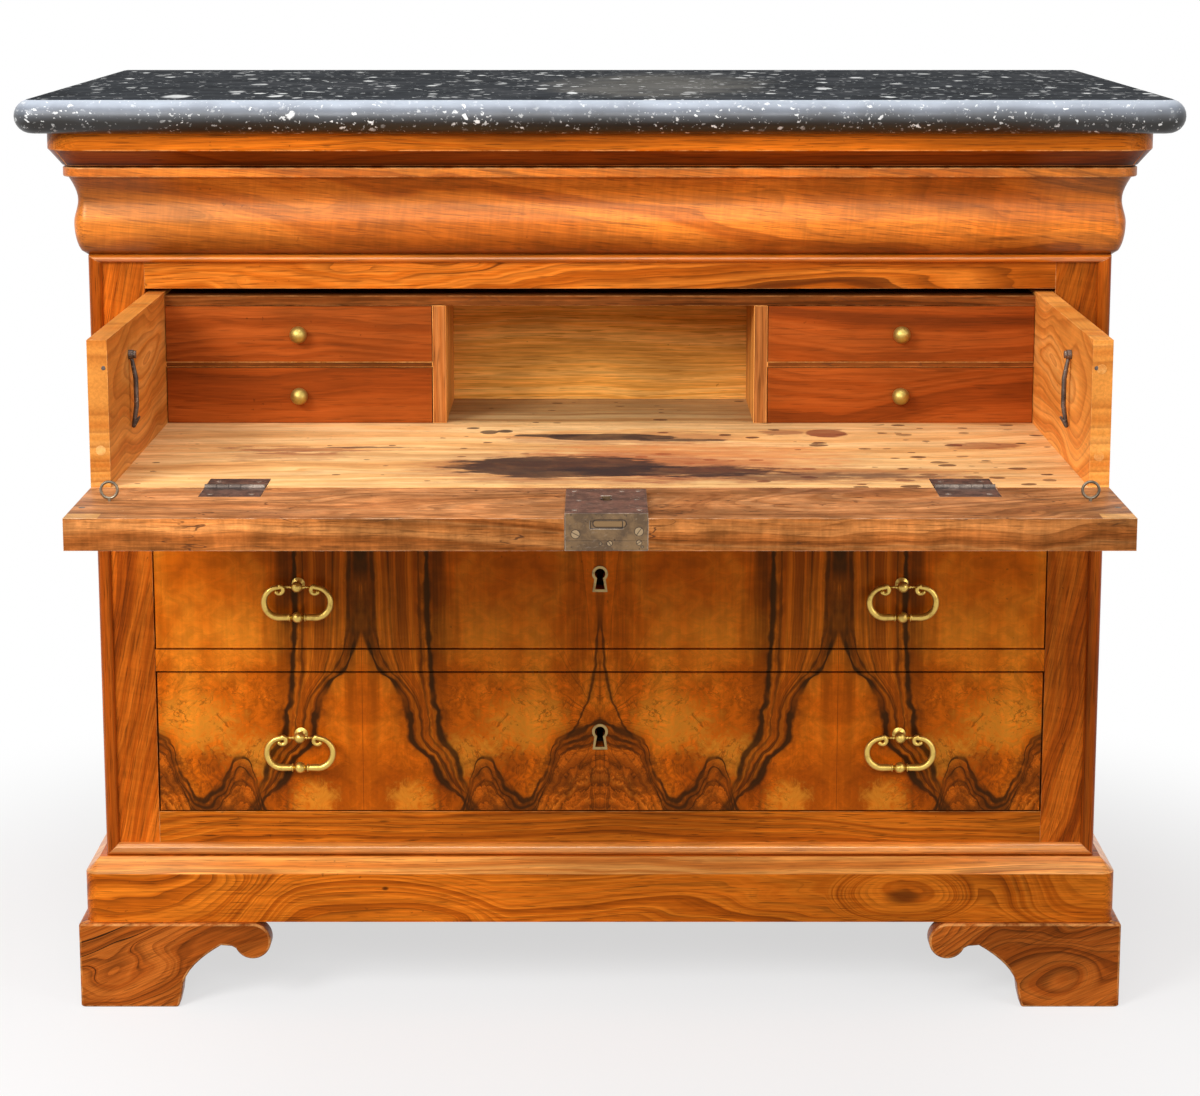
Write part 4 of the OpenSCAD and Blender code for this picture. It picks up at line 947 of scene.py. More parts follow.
metals = {
    "brass": brass("polished_brass", tone(212, 178, 92), tone(150, 114, 48), 0.32),
    "plate_brass": brass("plate_brass", tone(160, 134, 86), tone(84, 62, 38), 0.36),
    "knob_brass": brass("knob_brass", tone(184, 160, 86), tone(134, 108, 50), 0.44),
    "lock_top_iron": iron("lock_top_iron", tone(124, 98, 88), tone(80, 62, 54), 0.7),
    "dark_iron": iron("dark_iron", tone(110, 94, 86), tone(64, 54, 50), 0.45),
    "hook_iron": iron("hook_iron", tone(112, 98, 88), tone(62, 52, 46), 0.5),
    "knuckle_iron": iron("knuckle_iron", tone(132, 118, 106), tone(84, 72, 64), 0.5, 0.6, 0.4),
    "bright_iron": iron("bright_iron", tone(168, 156, 142), tone(100, 88, 78), 0.3, 0.8, 0.38),
    "eye_iron": iron("eye_iron", tone(136, 124, 104), tone(84, 74, 60), 0.2, 0.7, 0.42),
}
print(len(metals), "metals")

# %% [markdown]
# ## The edge plate of the flap's lock
# The plate is let in flush, so its screws and its slot must be flush too. They are drawn in the material,
# as rings and slots at measured places: the distance from a centre gives a disc and its dark groove, and
# the distance from a short line gives the rounded slot through which the bolt's case shows.

# %% Edge plate recipe
lock_low, lock_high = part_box("flap_lock")
lock_x = (lock_low.x + lock_high.x) / 2
PLATE_SCREWS = [  # from the plate's middle, under the surface, radius, turn of the slot
    (-29.0, -15.0, 4.2, 0.5), (30.5, -12.5, 4.2, 2.2), (3.0, -23.8, 2.6, 1.0),
    (30.6, -23.0, 2.6, 2.6), (-5.5, -24.0, 1.4, 0.0), (33.5, -27.0, 1.2, 0.0)]
SLOT_ENDS = (-9.0, 15.0)
SLOT_HEIGHT = -5.0
SLOT_HALF = 3.6
STRIP_HEIGHT = -21.4


def lock_edge_iron():
    """Iron with flush screws, a slot and the edge of a strip drawn into it."""
    finish = Finish("lock_edge_iron")
    colour, patches, pits = iron_colour(finish, tone(126, 98, 66), tone(86, 66, 46), 0.12)
    x, y, z = finish.split(finish.place)
    x = finish.minus(x, lock_x)
    z = finish.minus(z, surface_z)
    hollow = 0.0
    for screw_x, screw_z, radius, angle in PLATE_SCREWS:
        dx = finish.minus(x, screw_x * MM)
        dz = finish.minus(z, screw_z * MM)
        away = finish.calc("SQRT", finish.ellipse(dx, dz))
        disc = finish.level(away, radius * MM, (radius - 0.3) * MM)
        rim = finish.near(away, radius * MM, 0.6 * MM, 0.2 * MM)
        colour = finish.mix(finish.times(disc, 0.6), colour, tone(178, 152, 116))
        off = finish.times_plus(dx, math.sin(angle), finish.times(dz, math.cos(angle)))
        cut = finish.times(finish.near(off, 0.0, 0.55 * MM, 0.3 * MM), disc)
        mark = finish.larger(rim, cut)
        colour = finish.mix(finish.times(mark, 0.8), colour, tone(46, 34, 26))
        hollow = finish.larger(mark, hollow)
    nearest = finish.calc("MINIMUM", finish.larger(x, SLOT_ENDS[0] * MM), SLOT_ENDS[1] * MM)
    away = finish.calc("SQRT", finish.ellipse(finish.minus(x, nearest), finish.minus(z, SLOT_HEIGHT * MM)))
    inside = finish.level(away, SLOT_HALF * MM, (SLOT_HALF - 0.5) * MM)
    colour = finish.mix(finish.times(inside, 0.9), colour, tone(132, 102, 66))
    rim = finish.near(away, SLOT_HALF * MM, 0.9 * MM, 0.3 * MM)
    strip = finish.near(z, STRIP_HEIGHT * MM, 0.5 * MM, 0.2 * MM)
    mark = finish.larger(rim, finish.times(strip, 0.7))
    colour = finish.mix(finish.times(mark, 0.85), colour, tone(40, 28, 20))
    hollow = finish.larger(hollow, mark)
    patches = finish.minus(patches, hollow)
    return iron_polish(finish, colour, patches, pits, 0.5, 0.42)


metals["lock_edge_iron"] = lock_edge_iron()
print(len(PLATE_SCREWS), "screws and pins drawn on the edge plate")

# %% [markdown]
# ## Marble
# The slab is a black limestone full of fossil shells, cut and polished. Each shell is a Voronoi cell: a
# random number per cell decides whether it holds a shell and how large that is, and warped coordinates
# make it irregular. Four sizes lie over each other, down to dust. The top and the round edge are two
# finishes: the top has almost no shine and a pale painted reflection in its middle, while the edge is
# painted pale and bluish on its upper half as a reflection, and dark brown below as painted shade.

# %% Marble recipe
TOP_SHELLS = (  # cells per metre, squeeze, share left empty, smallest, spread, strength
    (9.0, (1.0, 0.50, 1.0), 0.80, 0.07, 0.15, 0.98),
    (30.0, (0.8, 0.42, 1.0), 0.58, 0.05, 0.24, 0.95),
    (70.0, (0.6, 0.36, 1.0), 0.34, 0.05, 0.30, 0.90),
    (150.0, (0.6, 0.40, 1.0), 0.30, 0.08, 0.32, 0.60))
EDGE_SHELLS = (
    (20.0, (0.7, 1.0, 1.5), 0.86, 0.08, 0.18, 0.95),
    (56.0, (0.8, 1.0, 1.3), 0.64, 0.05, 0.24, 0.95),
    (130.0, (0.8, 1.0, 1.2), 0.40, 0.06, 0.32, 0.90),
    (260.0, (0.8, 1.0, 1.2), 0.45, 0.08, 0.30, 0.70))
PAINTED_SHEEN_SPOT = (0.065, 0.20)
PAINTED_SHEEN_HALF = (0.15, 0.30)


def fossil_marble(name, gloss, shine, shells, edge=False):
    """Black ground, shells in four sizes, and painted reflection: a pale patch on the top, or on the edge a
    pale bluish upper half and dark painted shade below.
    """
    finish = Finish(name)
    x, y, z = finish.split(finish.place)
    film = finish.noise(finish.place, 26.0, 3.0, 0.5)
    ground = finish.ramp(finish.noise(finish.place, 11.0, 5.0, 0.65), [
        (0.30, tone(30, 32, 35)), (0.52, tone(44, 47, 51)), (0.75, tone(64, 65, 68))])
    # Painted reflection on the round edge: pale and bluish above, dark brown painted shade below.
    if edge:
        slab_low, slab_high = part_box("marble_top")
        part = finish.over(finish.minus(z, slab_low.z), slab_high.z - slab_low.z)
        part = finish.times_plus(finish.minus(film, 0.5), 0.25, part)
        painted_sheen_and_shade = finish.ramp(part, [
            (0.05, tone(22, 18, 13)), (0.36, tone(34, 31, 27)), (0.56, tone(74, 76, 80)),
            (0.76, tone(124, 130, 140)), (0.94, tone(176, 184, 196))])
        ground = finish.mix(0.9, ground, painted_sheen_and_shade)
    colour = ground
    stirred = finish.place
    for scale, reach in ((24.0, 0.024), (150.0, 0.010)):
        wires = {"Vector": finish.place, "Scale": scale, "Detail": 4.0, "Roughness": 0.65}
        shift = finish.stretch(finish.add("TexNoise", wires).outputs["Color"], (reach, reach, reach))
        stirred = finish.add("VectorMath", {0: stirred, 1: shift}, operation="ADD").outputs[0]
    crowd = finish.level(finish.noise(finish.place, 16.0, 3.0, 0.6), 0.36, 0.50, 0.40, 1.0)
    for scale, squeeze, empty, smallest, spread, strength in shells:
        shell = finish.cells(finish.stretch(stirred, squeeze), scale)
        number, size, shade = finish.split(shell["Color"])
        reach = finish.times_plus(size, spread, smallest)
        filled = finish.level(shell["Distance"], reach, finish.times(reach, 0.75))
        mask = finish.times(finish.calc("GREATER_THAN", number, empty), filled)
        mask = finish.times(mask, finish.level(shade, 0.10, 0.85, 0.16, strength))
        colour = finish.mix(finish.times(mask, crowd), colour, tone(232, 233, 232))
    # A pale painted reflection in the middle of the top.
    if not edge:
        patch = finish.ellipse(finish.minus(x, PAINTED_SHEEN_SPOT[0]), finish.minus(y, PAINTED_SHEEN_SPOT[1]), PAINTED_SHEEN_HALF)
        uneven = finish.times_plus(finish.noise(finish.place, 14.0, 5.0, 0.65), 2.0, patch)
        colour = finish.mix(finish.level(uneven, 2.1, 0.9, 0.0, 0.12), colour, tone(236, 228, 212))
    finish.bump(film, 0.02, 0.0005)
    rough = finish.level(film, 0.3, 0.7, gloss + 0.05, gloss - 0.04)
    finish.shade(Base_Color=colour, Roughness=rough, Specular_IOR_Level=shine)
    return finish.material


marble_top = fossil_marble("marble_top_face", 0.34, 0.0002, TOP_SHELLS)
marble_edge = fossil_marble("marble_round_edge", 0.34, 0.45, EDGE_SHELLS, edge=True)
print("marble polished")

# %% [markdown]
# ## Boards with worn edges
# A real board never has a knife edge: its arrises are rounded by plane, polish and years of hands. The
# model's boards are exact and sharp. So each one is copied, its loose triangles are merged and joined to
# flat faces again, and a Bevel modifier rounds every edge. The bevel's own faces take the last material
# slot, which holds the rubbed version of the same wood, or on the drawer fronts its version with painted
# gap shadow. Weighted normals keep the large faces flat and still run light smoothly over the strips of a
# moulding. `pick` may give some faces another finish.


# %% Copy a board and round its edges
def merged_copy(node, pick, flat=math.radians(0.4)):
    """A copy of a model node's mesh with its triangles merged into flat faces."""
    mesh = bpy.data.meshes.new(node + "_copy")
    work = bmesh.new()
    work.from_mesh(frame["nodes"][node].data)
    bmesh.ops.remove_doubles(work, verts=work.verts, dist=0.00002)
    bmesh.ops.dissolve_limit(work, angle_limit=flat, verts=work.verts, edges=work.edges)
    for face in work.faces:
        face.smooth = True
        face.material_index = pick(face.normal, face.calc_center_median()) if pick else 0
    work.to_mesh(mesh)
    work.free()
    return mesh


def settle(piece):
    """Turns a piece with modifiers into a plain mesh."""
    view = bpy.context.evaluated_depsgraph_get()
    mesh = bpy.data.meshes.new_from_object(piece.evaluated_get(view))
    piece.modifiers.clear()
    piece.data = mesh
    return piece


def body_of(node):
    """The moving body that a node belongs to."""
    return next(body for body, nodes in frame["record"]["behaviour"]["bodies"].items() if node in nodes)


def dress(node, materials, width=0.8, steps=3, pick=None, sharper=40.0):
    """Replaces a model node by a copy with rounded edges."""
    piece = bpy.data.objects.new(node + "_piece", merged_copy(node, pick))
    bpy.context.scene.collection.objects.link(piece)
    for material in materials:
        piece.data.materials.append(material)
    bevel = piece.modifiers.new("worn", "BEVEL")
    bevel.width = width * MM
    bevel.segments = steps
    bevel.limit_method = "ANGLE"
    bevel.angle_limit = math.radians(sharper)
    bevel.use_clamp_overlap = True
    bevel.material = len(materials) - 1
    piece.modifiers.new("even_light", "WEIGHTED_NORMAL").keep_sharp = True
    settle(piece)
    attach(piece, body_of(node))
    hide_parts(node)
    return piece


print("joiner's helpers ready")

# %% [markdown]
# ## The carcase and the drawers
# This list says which wood each board gets and how far its edges are rounded, in millimetres. The plinth,
# the feet and the side boards have taken the most knocks.

# %% Dress the boards
BOARDS = {
    "frieze_front": ("ogee_wood", 0.9),
    "frieze_returns": ("ogee_wood", 0.9),
    "stiles": ("stile_wood", 0.4),
    "top_rail": ("top_rail_wood", 0.5),
    "writing_rail": ("rail_wood", 0.5),
    "middle_rail": ("veneer", 0.6),
    "bottom_rail": ("rail_wood", 0.5),
    "side_panel_left": ("side_wood", 0.8),
    "side_panel_right": ("side_wood", 0.8),
    "back_panel": ("back_wood", 0.8),
    "top_frame": ("inner_wood", 0.8),
    "frieze_deck": ("inner_wood", 0.8),
    "drawer_runners": ("inner_wood", 0.8),
    "bottom_board": ("inner_wood", 0.8),
    "glue_blocks": ("inner_wood", 1.0),
    "foot_front_left": ("foot_wood", 2.6),
    "foot_front_right": ("foot_wood", 2.6),
    "foot_rear_left": ("foot_wood", 1.6),
    "foot_rear_right": ("foot_wood", 1.6),
    "frieze_box": ("inner_wood", 0.8),
    "writing_board": ("writing_wood", 0.5),
    "side_board_left": ("side_board_wood", 3.0),
    "side_board_right": ("side_board_wood", 3.0),
    "writing_frame": ("drawer_back_wood", 0.8),
    "fitting_top": ("fitting_wood", 0.6),
    "small_drawer_upper_left": ("small_drawer_wood", 2.0),
    "small_drawer_lower_left": ("small_drawer_wood", 2.0),
    "small_drawer_upper_right": ("small_drawer_wood", 2.0),
    "small_drawer_lower_right": ("small_drawer_wood", 2.0),
    "middle_front": ("veneer", 2.3),
    "lower_front": ("veneer", 2.3),
    "middle_box": ("inner_wood", 0.8),
    "lower_box": ("inner_wood", 0.8),
}
for node, (wood_name, edge_width) in BOARDS.items():
    dress(node, finishes[wood_name], edge_width)
print(len(BOARDS), "boards dressed")


# %% Pieces whose faces differ
def cornice_faces(normal, centre):
    """The slope below the cornice gets darker tones, a painted shade."""
    return 1 if normal.z < -0.3 else 0


def plinth_faces(normal, centre):
    """The bevel along the plinth's upper edge gets lighter tones, a painted highlight."""
    return 1 if normal.z > 0.3 and abs(normal.z) < 0.95 else 0


def divider_faces(normal, centre):
    """Walnut slips hide the pale front edges of dividers, and darker ones those of shelves."""
    return 0 if normal.y > -0.7 else 1 if abs(centre.x) < 0.19 else 2


def flap_faces(normal, centre):
    """The worn face inside, the plain edges, and the veneered face that shows when the flap is shut."""
    return 0 if normal.z > 0.7 else 2 if normal.z < -0.7 else 1


def bead_faces(normal, centre):
    """Upright beads, the lower bead with lighter tones as a painted highlight, and the upper one."""
    low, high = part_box("bead_frame")
    if abs(centre.x) > high.x - 0.0152:
        return 1
    return 2 if centre.z < (low.z + high.z) / 2 else 0


for node, pick, wide, names in (
        ("cornice", cornice_faces, 0.8, ("cornice_wood", "cornice_slope")),
        ("plinth", plinth_faces, 1.0, ("plinth_wood", "plinth_bevel")),
        ("fitting_partitions", divider_faces, 0.5, ("divider_wood", "divider_front", "fitting_wood")),
        ("bead_frame", bead_faces, 0.4, ("bead_wood", "bead_upright", "bead_low"))):
    dress(node, [finishes[name][0] for name in names] + [finishes[names[0]][1]], wide, 3, pick)
dress("flap", (finishes["flap_wood"][0], finishes["flap_edge_wood"][0], finishes["flap_face"][0],
               finishes["flap_wood"][1]), 1.1, 3, flap_faces)
print("cornice, plinth, dividers, bead and flap dressed")

# %% [markdown]
# ## Ironwork, knobs and marble
# These pieces keep the model's shapes. The lock has two irons, a brown cover and a brassy edge plate, and
# the knuckles of the hinges are rubbed bright.


# %% Dress the metal
def lock_faces(normal, centre):
    """The edge plate looks to the front and down, the cover looks up."""
    return 1 if normal.y < -0.7 or normal.z < -0.7 else 0


def knuckle_faces(normal, centre):
    """Only the knuckles stand above the board."""
    return 1 if centre.z > surface_z + 0.0008 else 0


def brass_faces(normal, centre):
    """Handle posts are bright, key plates are brown."""
    return 1 if abs(centre.x) > 0.1 else 0


METALWORK = {
    "knob_upper_left": "knob_brass", "knob_lower_left": "knob_brass", "knob_upper_right": "knob_brass",
    "knob_lower_right": "knob_brass",
    "flap_bolt": "lock_edge_iron", "middle_lock": "dark_iron", "middle_bolt": "dark_iron",
    "lower_lock": "dark_iron", "lower_bolt": "dark_iron", "flap_eyes": "eye_iron",
    "stay_hook_left": "hook_iron", "stay_hook_right": "hook_iron",
}
for node, metal in METALWORK.items():
    dress(node, (metals[metal],), 0.3, 2)
lock_irons = (metals["lock_top_iron"], metals["lock_edge_iron"], metals["bright_iron"])
dress("flap_lock", lock_irons, 0.5, 2, lock_faces)
for node in ("middle_brasses", "lower_brasses"):
    dress(node, (metals["plate_brass"], metals["brass"], metals["plate_brass"]), 0.3, 2, brass_faces)
for node in ("writing_board_irons", "flap_hinge_leaves"):
    dress(node, (metals["dark_iron"], metals["knuckle_iron"], metals["dark_iron"]), 0.25, 2, knuckle_faces)


def marble_faces(normal, centre):
    """The flat top, and everything round it."""
    return 0 if normal.z > 0.99 else 1


dress("marble_top", (marble_top, marble_edge, marble_edge), 0.3, 1, marble_faces)
print(len(METALWORK) + 6, "metal and stone pieces dressed")

# %% [markdown]
# ## The bails
# A bail is a cast and filed bar: thick below, thinner where it climbs, and curled to a small scroll beside
# the post. Each half is a chain of round sections along two arcs. A helper lofts the sections to a tube,
# and the other half is its mirror image. Balls and collars are turned shapes round the same bar.

# %% Bail helpers
BAR_SIDES = 20


def loft(work, line):
    """A closed tube through (x, z, radius) stations in the plane y = 0, in millimetres."""
    rings = []
    for i, (x, z, radius) in enumerate(line):
        before, after = line[max(i - 1, 0)], line[min(i + 1, len(line) - 1)]
        way = Vector((after[0] - before[0], 0.0, after[1] - before[1])).normalized()
        out = Vector((-way.z, 0.0, way.x))
        ring = []
        for k in range(BAR_SIDES):
            angle = 2 * math.pi * k / BAR_SIDES
            side = out * math.cos(angle) + Vector((0.0, math.sin(angle), 0.0))
            ring.append(work.verts.new(Vector((x, 0.0, z)) + radius * side))
        rings.append(ring)
    for one, two in zip(rings, rings[1:]):
        for k in range(BAR_SIDES):
            work.faces.new((one[k], one[(k + 1) % BAR_SIDES], two[(k + 1) % BAR_SIDES], two[k]))
    work.faces.new(rings[0])
    work.faces.new(list(reversed(rings[-1])))


def arc(cx, cz, radius, start, end, steps, thick, thin):
    """Stations along an arc, from one thickness to another, with angles in degrees."""
    stations = []
    for i in range(steps + 1):
        angle = math.radians(start + (end - start) * i / steps)
        stations.append((cx + radius * math.cos(angle), cz + radius * math.sin(angle),
                         thick + (thin - thick) * i / steps))
    return stations


def ball(work, x, z, radius, steps=12):
    """A turned ball on the bar's line."""
    turns = [math.radians(-90 + 180 * i / steps) for i in range(steps + 1)]
    loft(work, [(x + radius * math.sin(a), z, max(radius * math.cos(a), 0.05)) for a in turns])


print("bail helpers ready")

# %% Make the four bails
PIN_TO_BAR = 35.0
BALL_RADIUS = 6.4
BAIL_HALF = 20.0
BAIL_BEND = 17.4
SCROLL = 4.3
COLLAR = ((5.0, 2.6), (7.8, 2.6), (7.9, 4.3), (8.7, 4.7), (9.5, 4.3), (9.6, 3.5), (11.0, 3.7))
PIN_BEADS = ((7.4, 1.9), (10.6, 1.5))


def bail(node):
    """One bail with its collars, balls and scrolls, in the place of the model's."""
    low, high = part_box(node)
    pin = Vector(((low.x + high.x) / 2, (low.y + high.y) / 2, low.z + (PIN_TO_BAR + BALL_RADIUS) * MM))
    work = bmesh.new()
    half = [(x, -PIN_TO_BAR, radius) for x, radius in COLLAR]
    half += arc(BAIL_HALF, BAIL_BEND - PIN_TO_BAR, BAIL_BEND, -90, 90, 40, 4.1, 2.8)
    half += arc(BAIL_HALF, 1 - SCROLL, SCROLL, 98, 318, 26, 2.8, 2.2)
    loft(work, half)
    ball(work, half[-1][0], half[-1][1], 2.5, 8)
    for x, radius in PIN_BEADS:
        ball(work, x, 0.0, radius, 8)
    bmesh.ops.mirror(work, geom=work.verts[:] + work.edges[:] + work.faces[:], axis="X", merge_dist=0.0)
    ball(work, 0.0, -PIN_TO_BAR, BALL_RADIUS, 16)
    loft(work, [(-15.0, 0.0, 1.2), (15.0, 0.0, 1.2)])
    bmesh.ops.recalc_face_normals(work, faces=work.faces)
    bmesh.ops.transform(work, matrix=Matrix.Translation(pin) @ Matrix.Scale(MM, 4), verts=work.verts)
    for face in work.faces:
        face.smooth = True
    mesh = bpy.data.meshes.new(node + "_cast")
    work.to_mesh(mesh)
    work.free()
    mesh.materials.append(metals["brass"])
    piece = bpy.data.objects.new(node + "_cast", mesh)
    bpy.context.scene.collection.objects.link(piece)
    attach(piece, body_of(node))
    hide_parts(node)
    return len(mesh.polygons)


bails = ("bail_middle_left", "bail_middle_right", "bail_lower_left", "bail_lower_right")
print("faces in each bail:", [bail(node) for node in bails])

# %% [markdown]
# ## Rivets, screws and nails
# Small heads repeat all over the ironwork: rivets in the lock, screws in the hinge leaves, nails in the
# side boards. A Geometry Nodes tree puts one head on every point of a loose cloud of points. Its inputs
# are the head's radius, its height and the direction that it looks in. Each head gets a random turn from
# a fixed seed, so that the screw slots point every way. Where the closed flap presses on the side boards,
# nails, plugs and studs lie all but flush.


# %% The tree that sets heads
def head_tree(slotted):
    """A node tree that puts one head on every point it is given."""
    tree = bpy.data.node_groups.new("slotted_heads" if slotted else "plain_heads", "GeometryNodeTree")
    face = tree.interface
    face.new_socket("Points", in_out="INPUT", socket_type="NodeSocketGeometry")
    face.new_socket("Radius", in_out="INPUT", socket_type="NodeSocketFloat").default_value = 0.002
    face.new_socket("Height", in_out="INPUT", socket_type="NodeSocketFloat").default_value = 0.0007
    face.new_socket("Facing", in_out="INPUT", socket_type="NodeSocketVector")
    face.new_socket("Metal", in_out="INPUT", socket_type="NodeSocketMaterial")
    face.new_socket("Heads", in_out="OUTPUT", socket_type="NodeSocketGeometry")
    make = tree.nodes.new
    link = tree.links.new
    inlet, outlet = make("NodeGroupInput"), make("NodeGroupOutput")

    # One head of unit size, with a slot cut across it where it is a screw
    dome = make("GeometryNodeMeshUVSphere")
    dome.inputs["Segments"].default_value = 20
    dome.inputs["Rings"].default_value = 10
    dome.inputs["Radius"].default_value = 1.0
    shape = dome.outputs["Mesh"]
    if slotted:
        cut = make("GeometryNodeMeshCube")
        cut.inputs["Size"].default_value = (3.0, 0.28, 1.0)
        lifted = make("GeometryNodeTransform")
        lifted.inputs["Translation"].default_value = (0.0, 0.0, 0.95)
        link(cut.outputs["Mesh"], lifted.inputs["Geometry"])
        carve = make("GeometryNodeMeshBoolean")
        carve.operation = "DIFFERENCE"
        link(shape, carve.inputs["Mesh 1"])
        link(lifted.outputs["Geometry"], carve.inputs["Mesh 2"])
        shape = carve.outputs["Mesh"]

    # Its real size and a random turn
    size = make("ShaderNodeCombineXYZ")
    link(inlet.outputs["Radius"], size.inputs["X"])
    link(inlet.outputs["Radius"], size.inputs["Y"])
    link(inlet.outputs["Height"], size.inputs["Z"])
    spin = make("FunctionNodeRandomValue")
    spin.data_type = "FLOAT"
    spin.inputs[3].default_value = math.pi
    spin.inputs["Seed"].default_value = 7
    spun = make("ShaderNodeCombineXYZ")
    link(spin.outputs[1], spun.inputs["Z"])

    # One head on every point, turned, and then made real
    place = make("GeometryNodeInstanceOnPoints")
    link(inlet.outputs["Points"], place.inputs["Points"])
    link(shape, place.inputs["Instance"])
    link(inlet.outputs["Facing"], place.inputs["Rotation"])
    link(size.outputs[0], place.inputs["Scale"])
    whirl = make("GeometryNodeRotateInstances")
    link(place.outputs["Instances"], whirl.inputs["Instances"])
    link(spun.outputs[0], whirl.inputs["Rotation"])
    real = make("GeometryNodeRealizeInstances")
    link(whirl.outputs["Instances"], real.inputs["Geometry"])
    smooth = make("GeometryNodeSetShadeSmooth")
    link(real.outputs["Geometry"], smooth.inputs["Geometry"])
    paint = make("GeometryNodeSetMaterial")
    link(smooth.outputs["Geometry"], paint.inputs["Geometry"])
    link(inlet.outputs["Metal"], paint.inputs["Material"])
    link(paint.outputs["Geometry"], outlet.inputs["Heads"])
    return tree


HEAD_TREES = {True: head_tree(True), False: head_tree(False)}
print("head trees:", [tree.name for tree in HEAD_TREES.values()])


# %% Set the heads
FACING = {"up": (0.0, 0.0, 0.0), "front": (math.pi / 2, 0.0, 0.0)}


def heads(name, spots, body, material, facing="up", radius=2.0, height=0.7, slotted=False):
    """Heads at spots in metres, that look up or to the front."""
    mesh = bpy.data.meshes.new(name)
    mesh.from_pydata(spots, [], [])
    piece = bpy.data.objects.new(name, mesh)
    bpy.context.scene.collection.objects.link(piece)
    modifier = piece.modifiers.new("heads", "NODES")
    modifier.node_group = HEAD_TREES[slotted]
    values = {"Radius": radius * MM, "Height": height * MM, "Facing": FACING[facing], "Metal": material}
    for socket in modifier.node_group.interface.items_tree:
        if socket.name in values:
            modifier[socket.identifier] = values[socket.name]
    settle(piece)
    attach(piece, body)
    print(name, len(spots), "heads,", len(piece.data.polygons), "faces")


LOCK_RIVETS = ((-30, 16), (31, 17), (-26, 62), (29, 66), (-31, 106), (31, 108), (15, 106))
HINGE_X = 0.360
STUD_X = 0.4935
NAIL_X = 0.4865
PLUG_X = 0.4915
PLUGS = ((-1, 37), (1, 118), (1, 31))
FLUSH = 0.12

lock_front = lock_low.y
rivets = [(lock_x + x * MM, lock_front + y * MM, lock_high.z) for x, y in LOCK_RIVETS]
heads("lock_rivets", rivets, "flap", metals["bright_iron"], radius=3.0, height=0.5)
for side, reach, body in (("board", 31, "writing_drawer"), ("flap", -33, "flap")):
    screws = [(s * HINGE_X + x * MM, hinge_y + reach * MM, surface_z) for s in (-1, 1) for x in (-20, 20)]
    heads("hinge_screws_" + side, screws, body, metals["bright_iron"],
          radius=3.4, height=0.5, slotted=True)
studs = [(s * STUD_X, front_y - 0.468, surface_z) for s in (-1, 1)]
heads("flap_stubs", studs, "flap", metals["bright_iron"], radius=3.4, height=FLUSH)
board_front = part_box("side_board_left")[0].y
nails = [(s * NAIL_X, board_front, surface_z + 0.119) for s in (-1, 1)]
heads("side_nails", nails, "writing_drawer", metals["dark_iron"], "front", 2.2, FLUSH)
plugs = [(s * PLUG_X, board_front, surface_z + z * MM) for s, z in PLUGS]
heads("side_plugs", plugs, "writing_drawer", finishes["side_board_wood"][1], "front", 5.0, FLUSH)

# %% [markdown]
# ## Floor
# The chest stands on a plain pale floor that fades into a white background. Only rays that the camera,
# a gloss or a glass sends out see that white, so it adds no light to the chest, and the floor still shows
# the chest's shadow.

# %% Floor
FLOOR_FADE = (0.72, 1.35)
FLOOR_GREY = 0.30
FLOOR_LIFT = 0.64
WHITE = (1.0, 1.0, 1.0, 1.0)
floor_mesh = bpy.data.meshes.new("floor")
floor_mesh.from_pydata([(-9, -9, 0), (9, -9, 0), (9, 9, 0), (-9, 9, 0)], [], [(0, 1, 2, 3)])
floor = bpy.data.objects.new("floor", floor_mesh)
bpy.context.scene.collection.objects.link(floor)
floor_finish = Finish("pale_floor")
seen = floor_finish.add("LightPath").outputs
looking = floor_finish.larger(seen["Is Glossy Ray"], seen["Is Transmission Ray"])
looking = floor_finish.larger(seen["Is Camera Ray"], looking)
away = floor_finish.add("VectorMath", {0: floor_finish.place}, operation="LENGTH").outputs["Value"]
fade = floor_finish.times(floor_finish.level(away, *FLOOR_FADE), looking)
grey = (FLOOR_GREY, FLOOR_GREY, FLOOR_GREY, 1.0)
floor_finish.shade(Base_Color=grey, Roughness=1.0, Specular_IOR_Level=0.0)
lift = floor_finish.add("Emission", {"Color": WHITE, "Strength": floor_finish.times(looking, FLOOR_LIFT)})
lit = floor_finish.add("AddShader", {0: floor_finish.shader.outputs[0], 1: lift.outputs[0]})
white = floor_finish.add("Emission", {"Color": WHITE, "Strength": 1.0})
blend = floor_finish.add("MixShader", {0: fade, 1: lit.outputs[0], 2: white.outputs[0]})
floor_finish.links.new(blend.outputs[0], floor_finish.nodes["Material Output"].inputs["Surface"])
floor_mesh.materials.append(floor_finish.material)
print("floor laid")

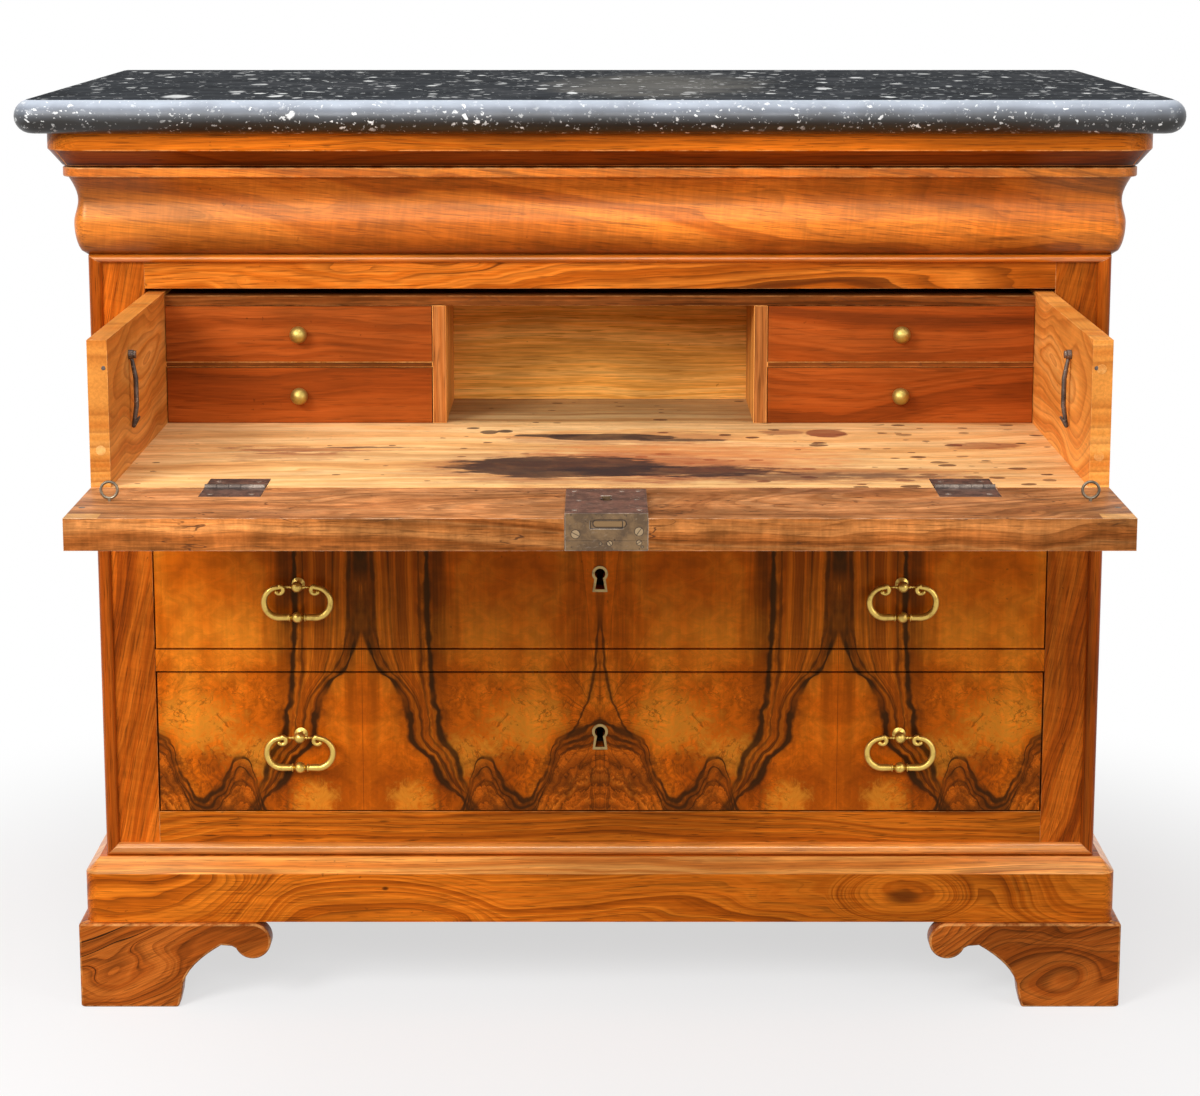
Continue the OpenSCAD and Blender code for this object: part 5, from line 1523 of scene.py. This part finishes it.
# %% [markdown]
# ## Light
# Broad soft lamps stand left, right and beside the camera, and one more hangs above, so that the rounded
# mouldings get long soft highlights. The key on the left is the strongest, which leaves the right side of
# each moulding a little darker. The world gives a weak even light, and only the rays of the camera, of a
# gloss and of glass see it as white.

# %% World and lamps
AIR_LIGHT = 0.28
world = bpy.data.worlds.new("studio")
bpy.context.scene.world = world
world.use_nodes = True
air = world.node_tree
path = air.nodes.new("ShaderNodeLightPath")
either = air.nodes.new("ShaderNodeMath")
either.operation = "MAXIMUM"
any_look = air.nodes.new("ShaderNodeMath")
any_look.operation = "MAXIMUM"
strength = air.nodes.new("ShaderNodeMapRange")
strength.inputs["To Min"].default_value = AIR_LIGHT
strength.inputs["To Max"].default_value = 1.0
air.links.new(path.outputs["Is Camera Ray"], either.inputs[0])
air.links.new(path.outputs["Is Glossy Ray"], either.inputs[1])
air.links.new(either.outputs[0], any_look.inputs[0])
air.links.new(path.outputs["Is Transmission Ray"], any_look.inputs[1])
air.links.new(any_look.outputs[0], strength.inputs["Value"])
air.links.new(strength.outputs[0], air.nodes["Background"].inputs["Strength"])
air.nodes["Background"].inputs["Color"].default_value = WHITE


def lamp(name, place, aim, size, power):
    """A soft rectangular lamp that faces a point."""
    data = bpy.data.lights.new(name, "AREA")
    data.shape = "RECTANGLE"
    data.size, data.size_y = size
    data.energy = power
    lamp_object = bpy.data.objects.new(name, data)
    lamp_object.location = place
    lamp_object.rotation_euler = (Vector(aim) - Vector(place)).to_track_quat("-Z", "Y").to_euler()
    bpy.context.scene.collection.objects.link(lamp_object)


CHEST_MIDDLE = (0.0, 0.1, 0.55)
lamp("key_left", (-2.1, -2.5, 2.4), CHEST_MIDDLE, (1.3, 1.3), 100.0)
lamp("front_soft", (-0.2, -3.4, 2.1), CHEST_MIDDLE, (2.2, 0.9), 42.0)
lamp("fill_right", (2.5, -2.2, 1.6), CHEST_MIDDLE, (1.4, 1.8), 26.0)
lamp("top_soft", (0.0, -0.7, 3.2), (0.0, 0.1, 0.9), (2.6, 1.2), 32.0)
print("four lamps")
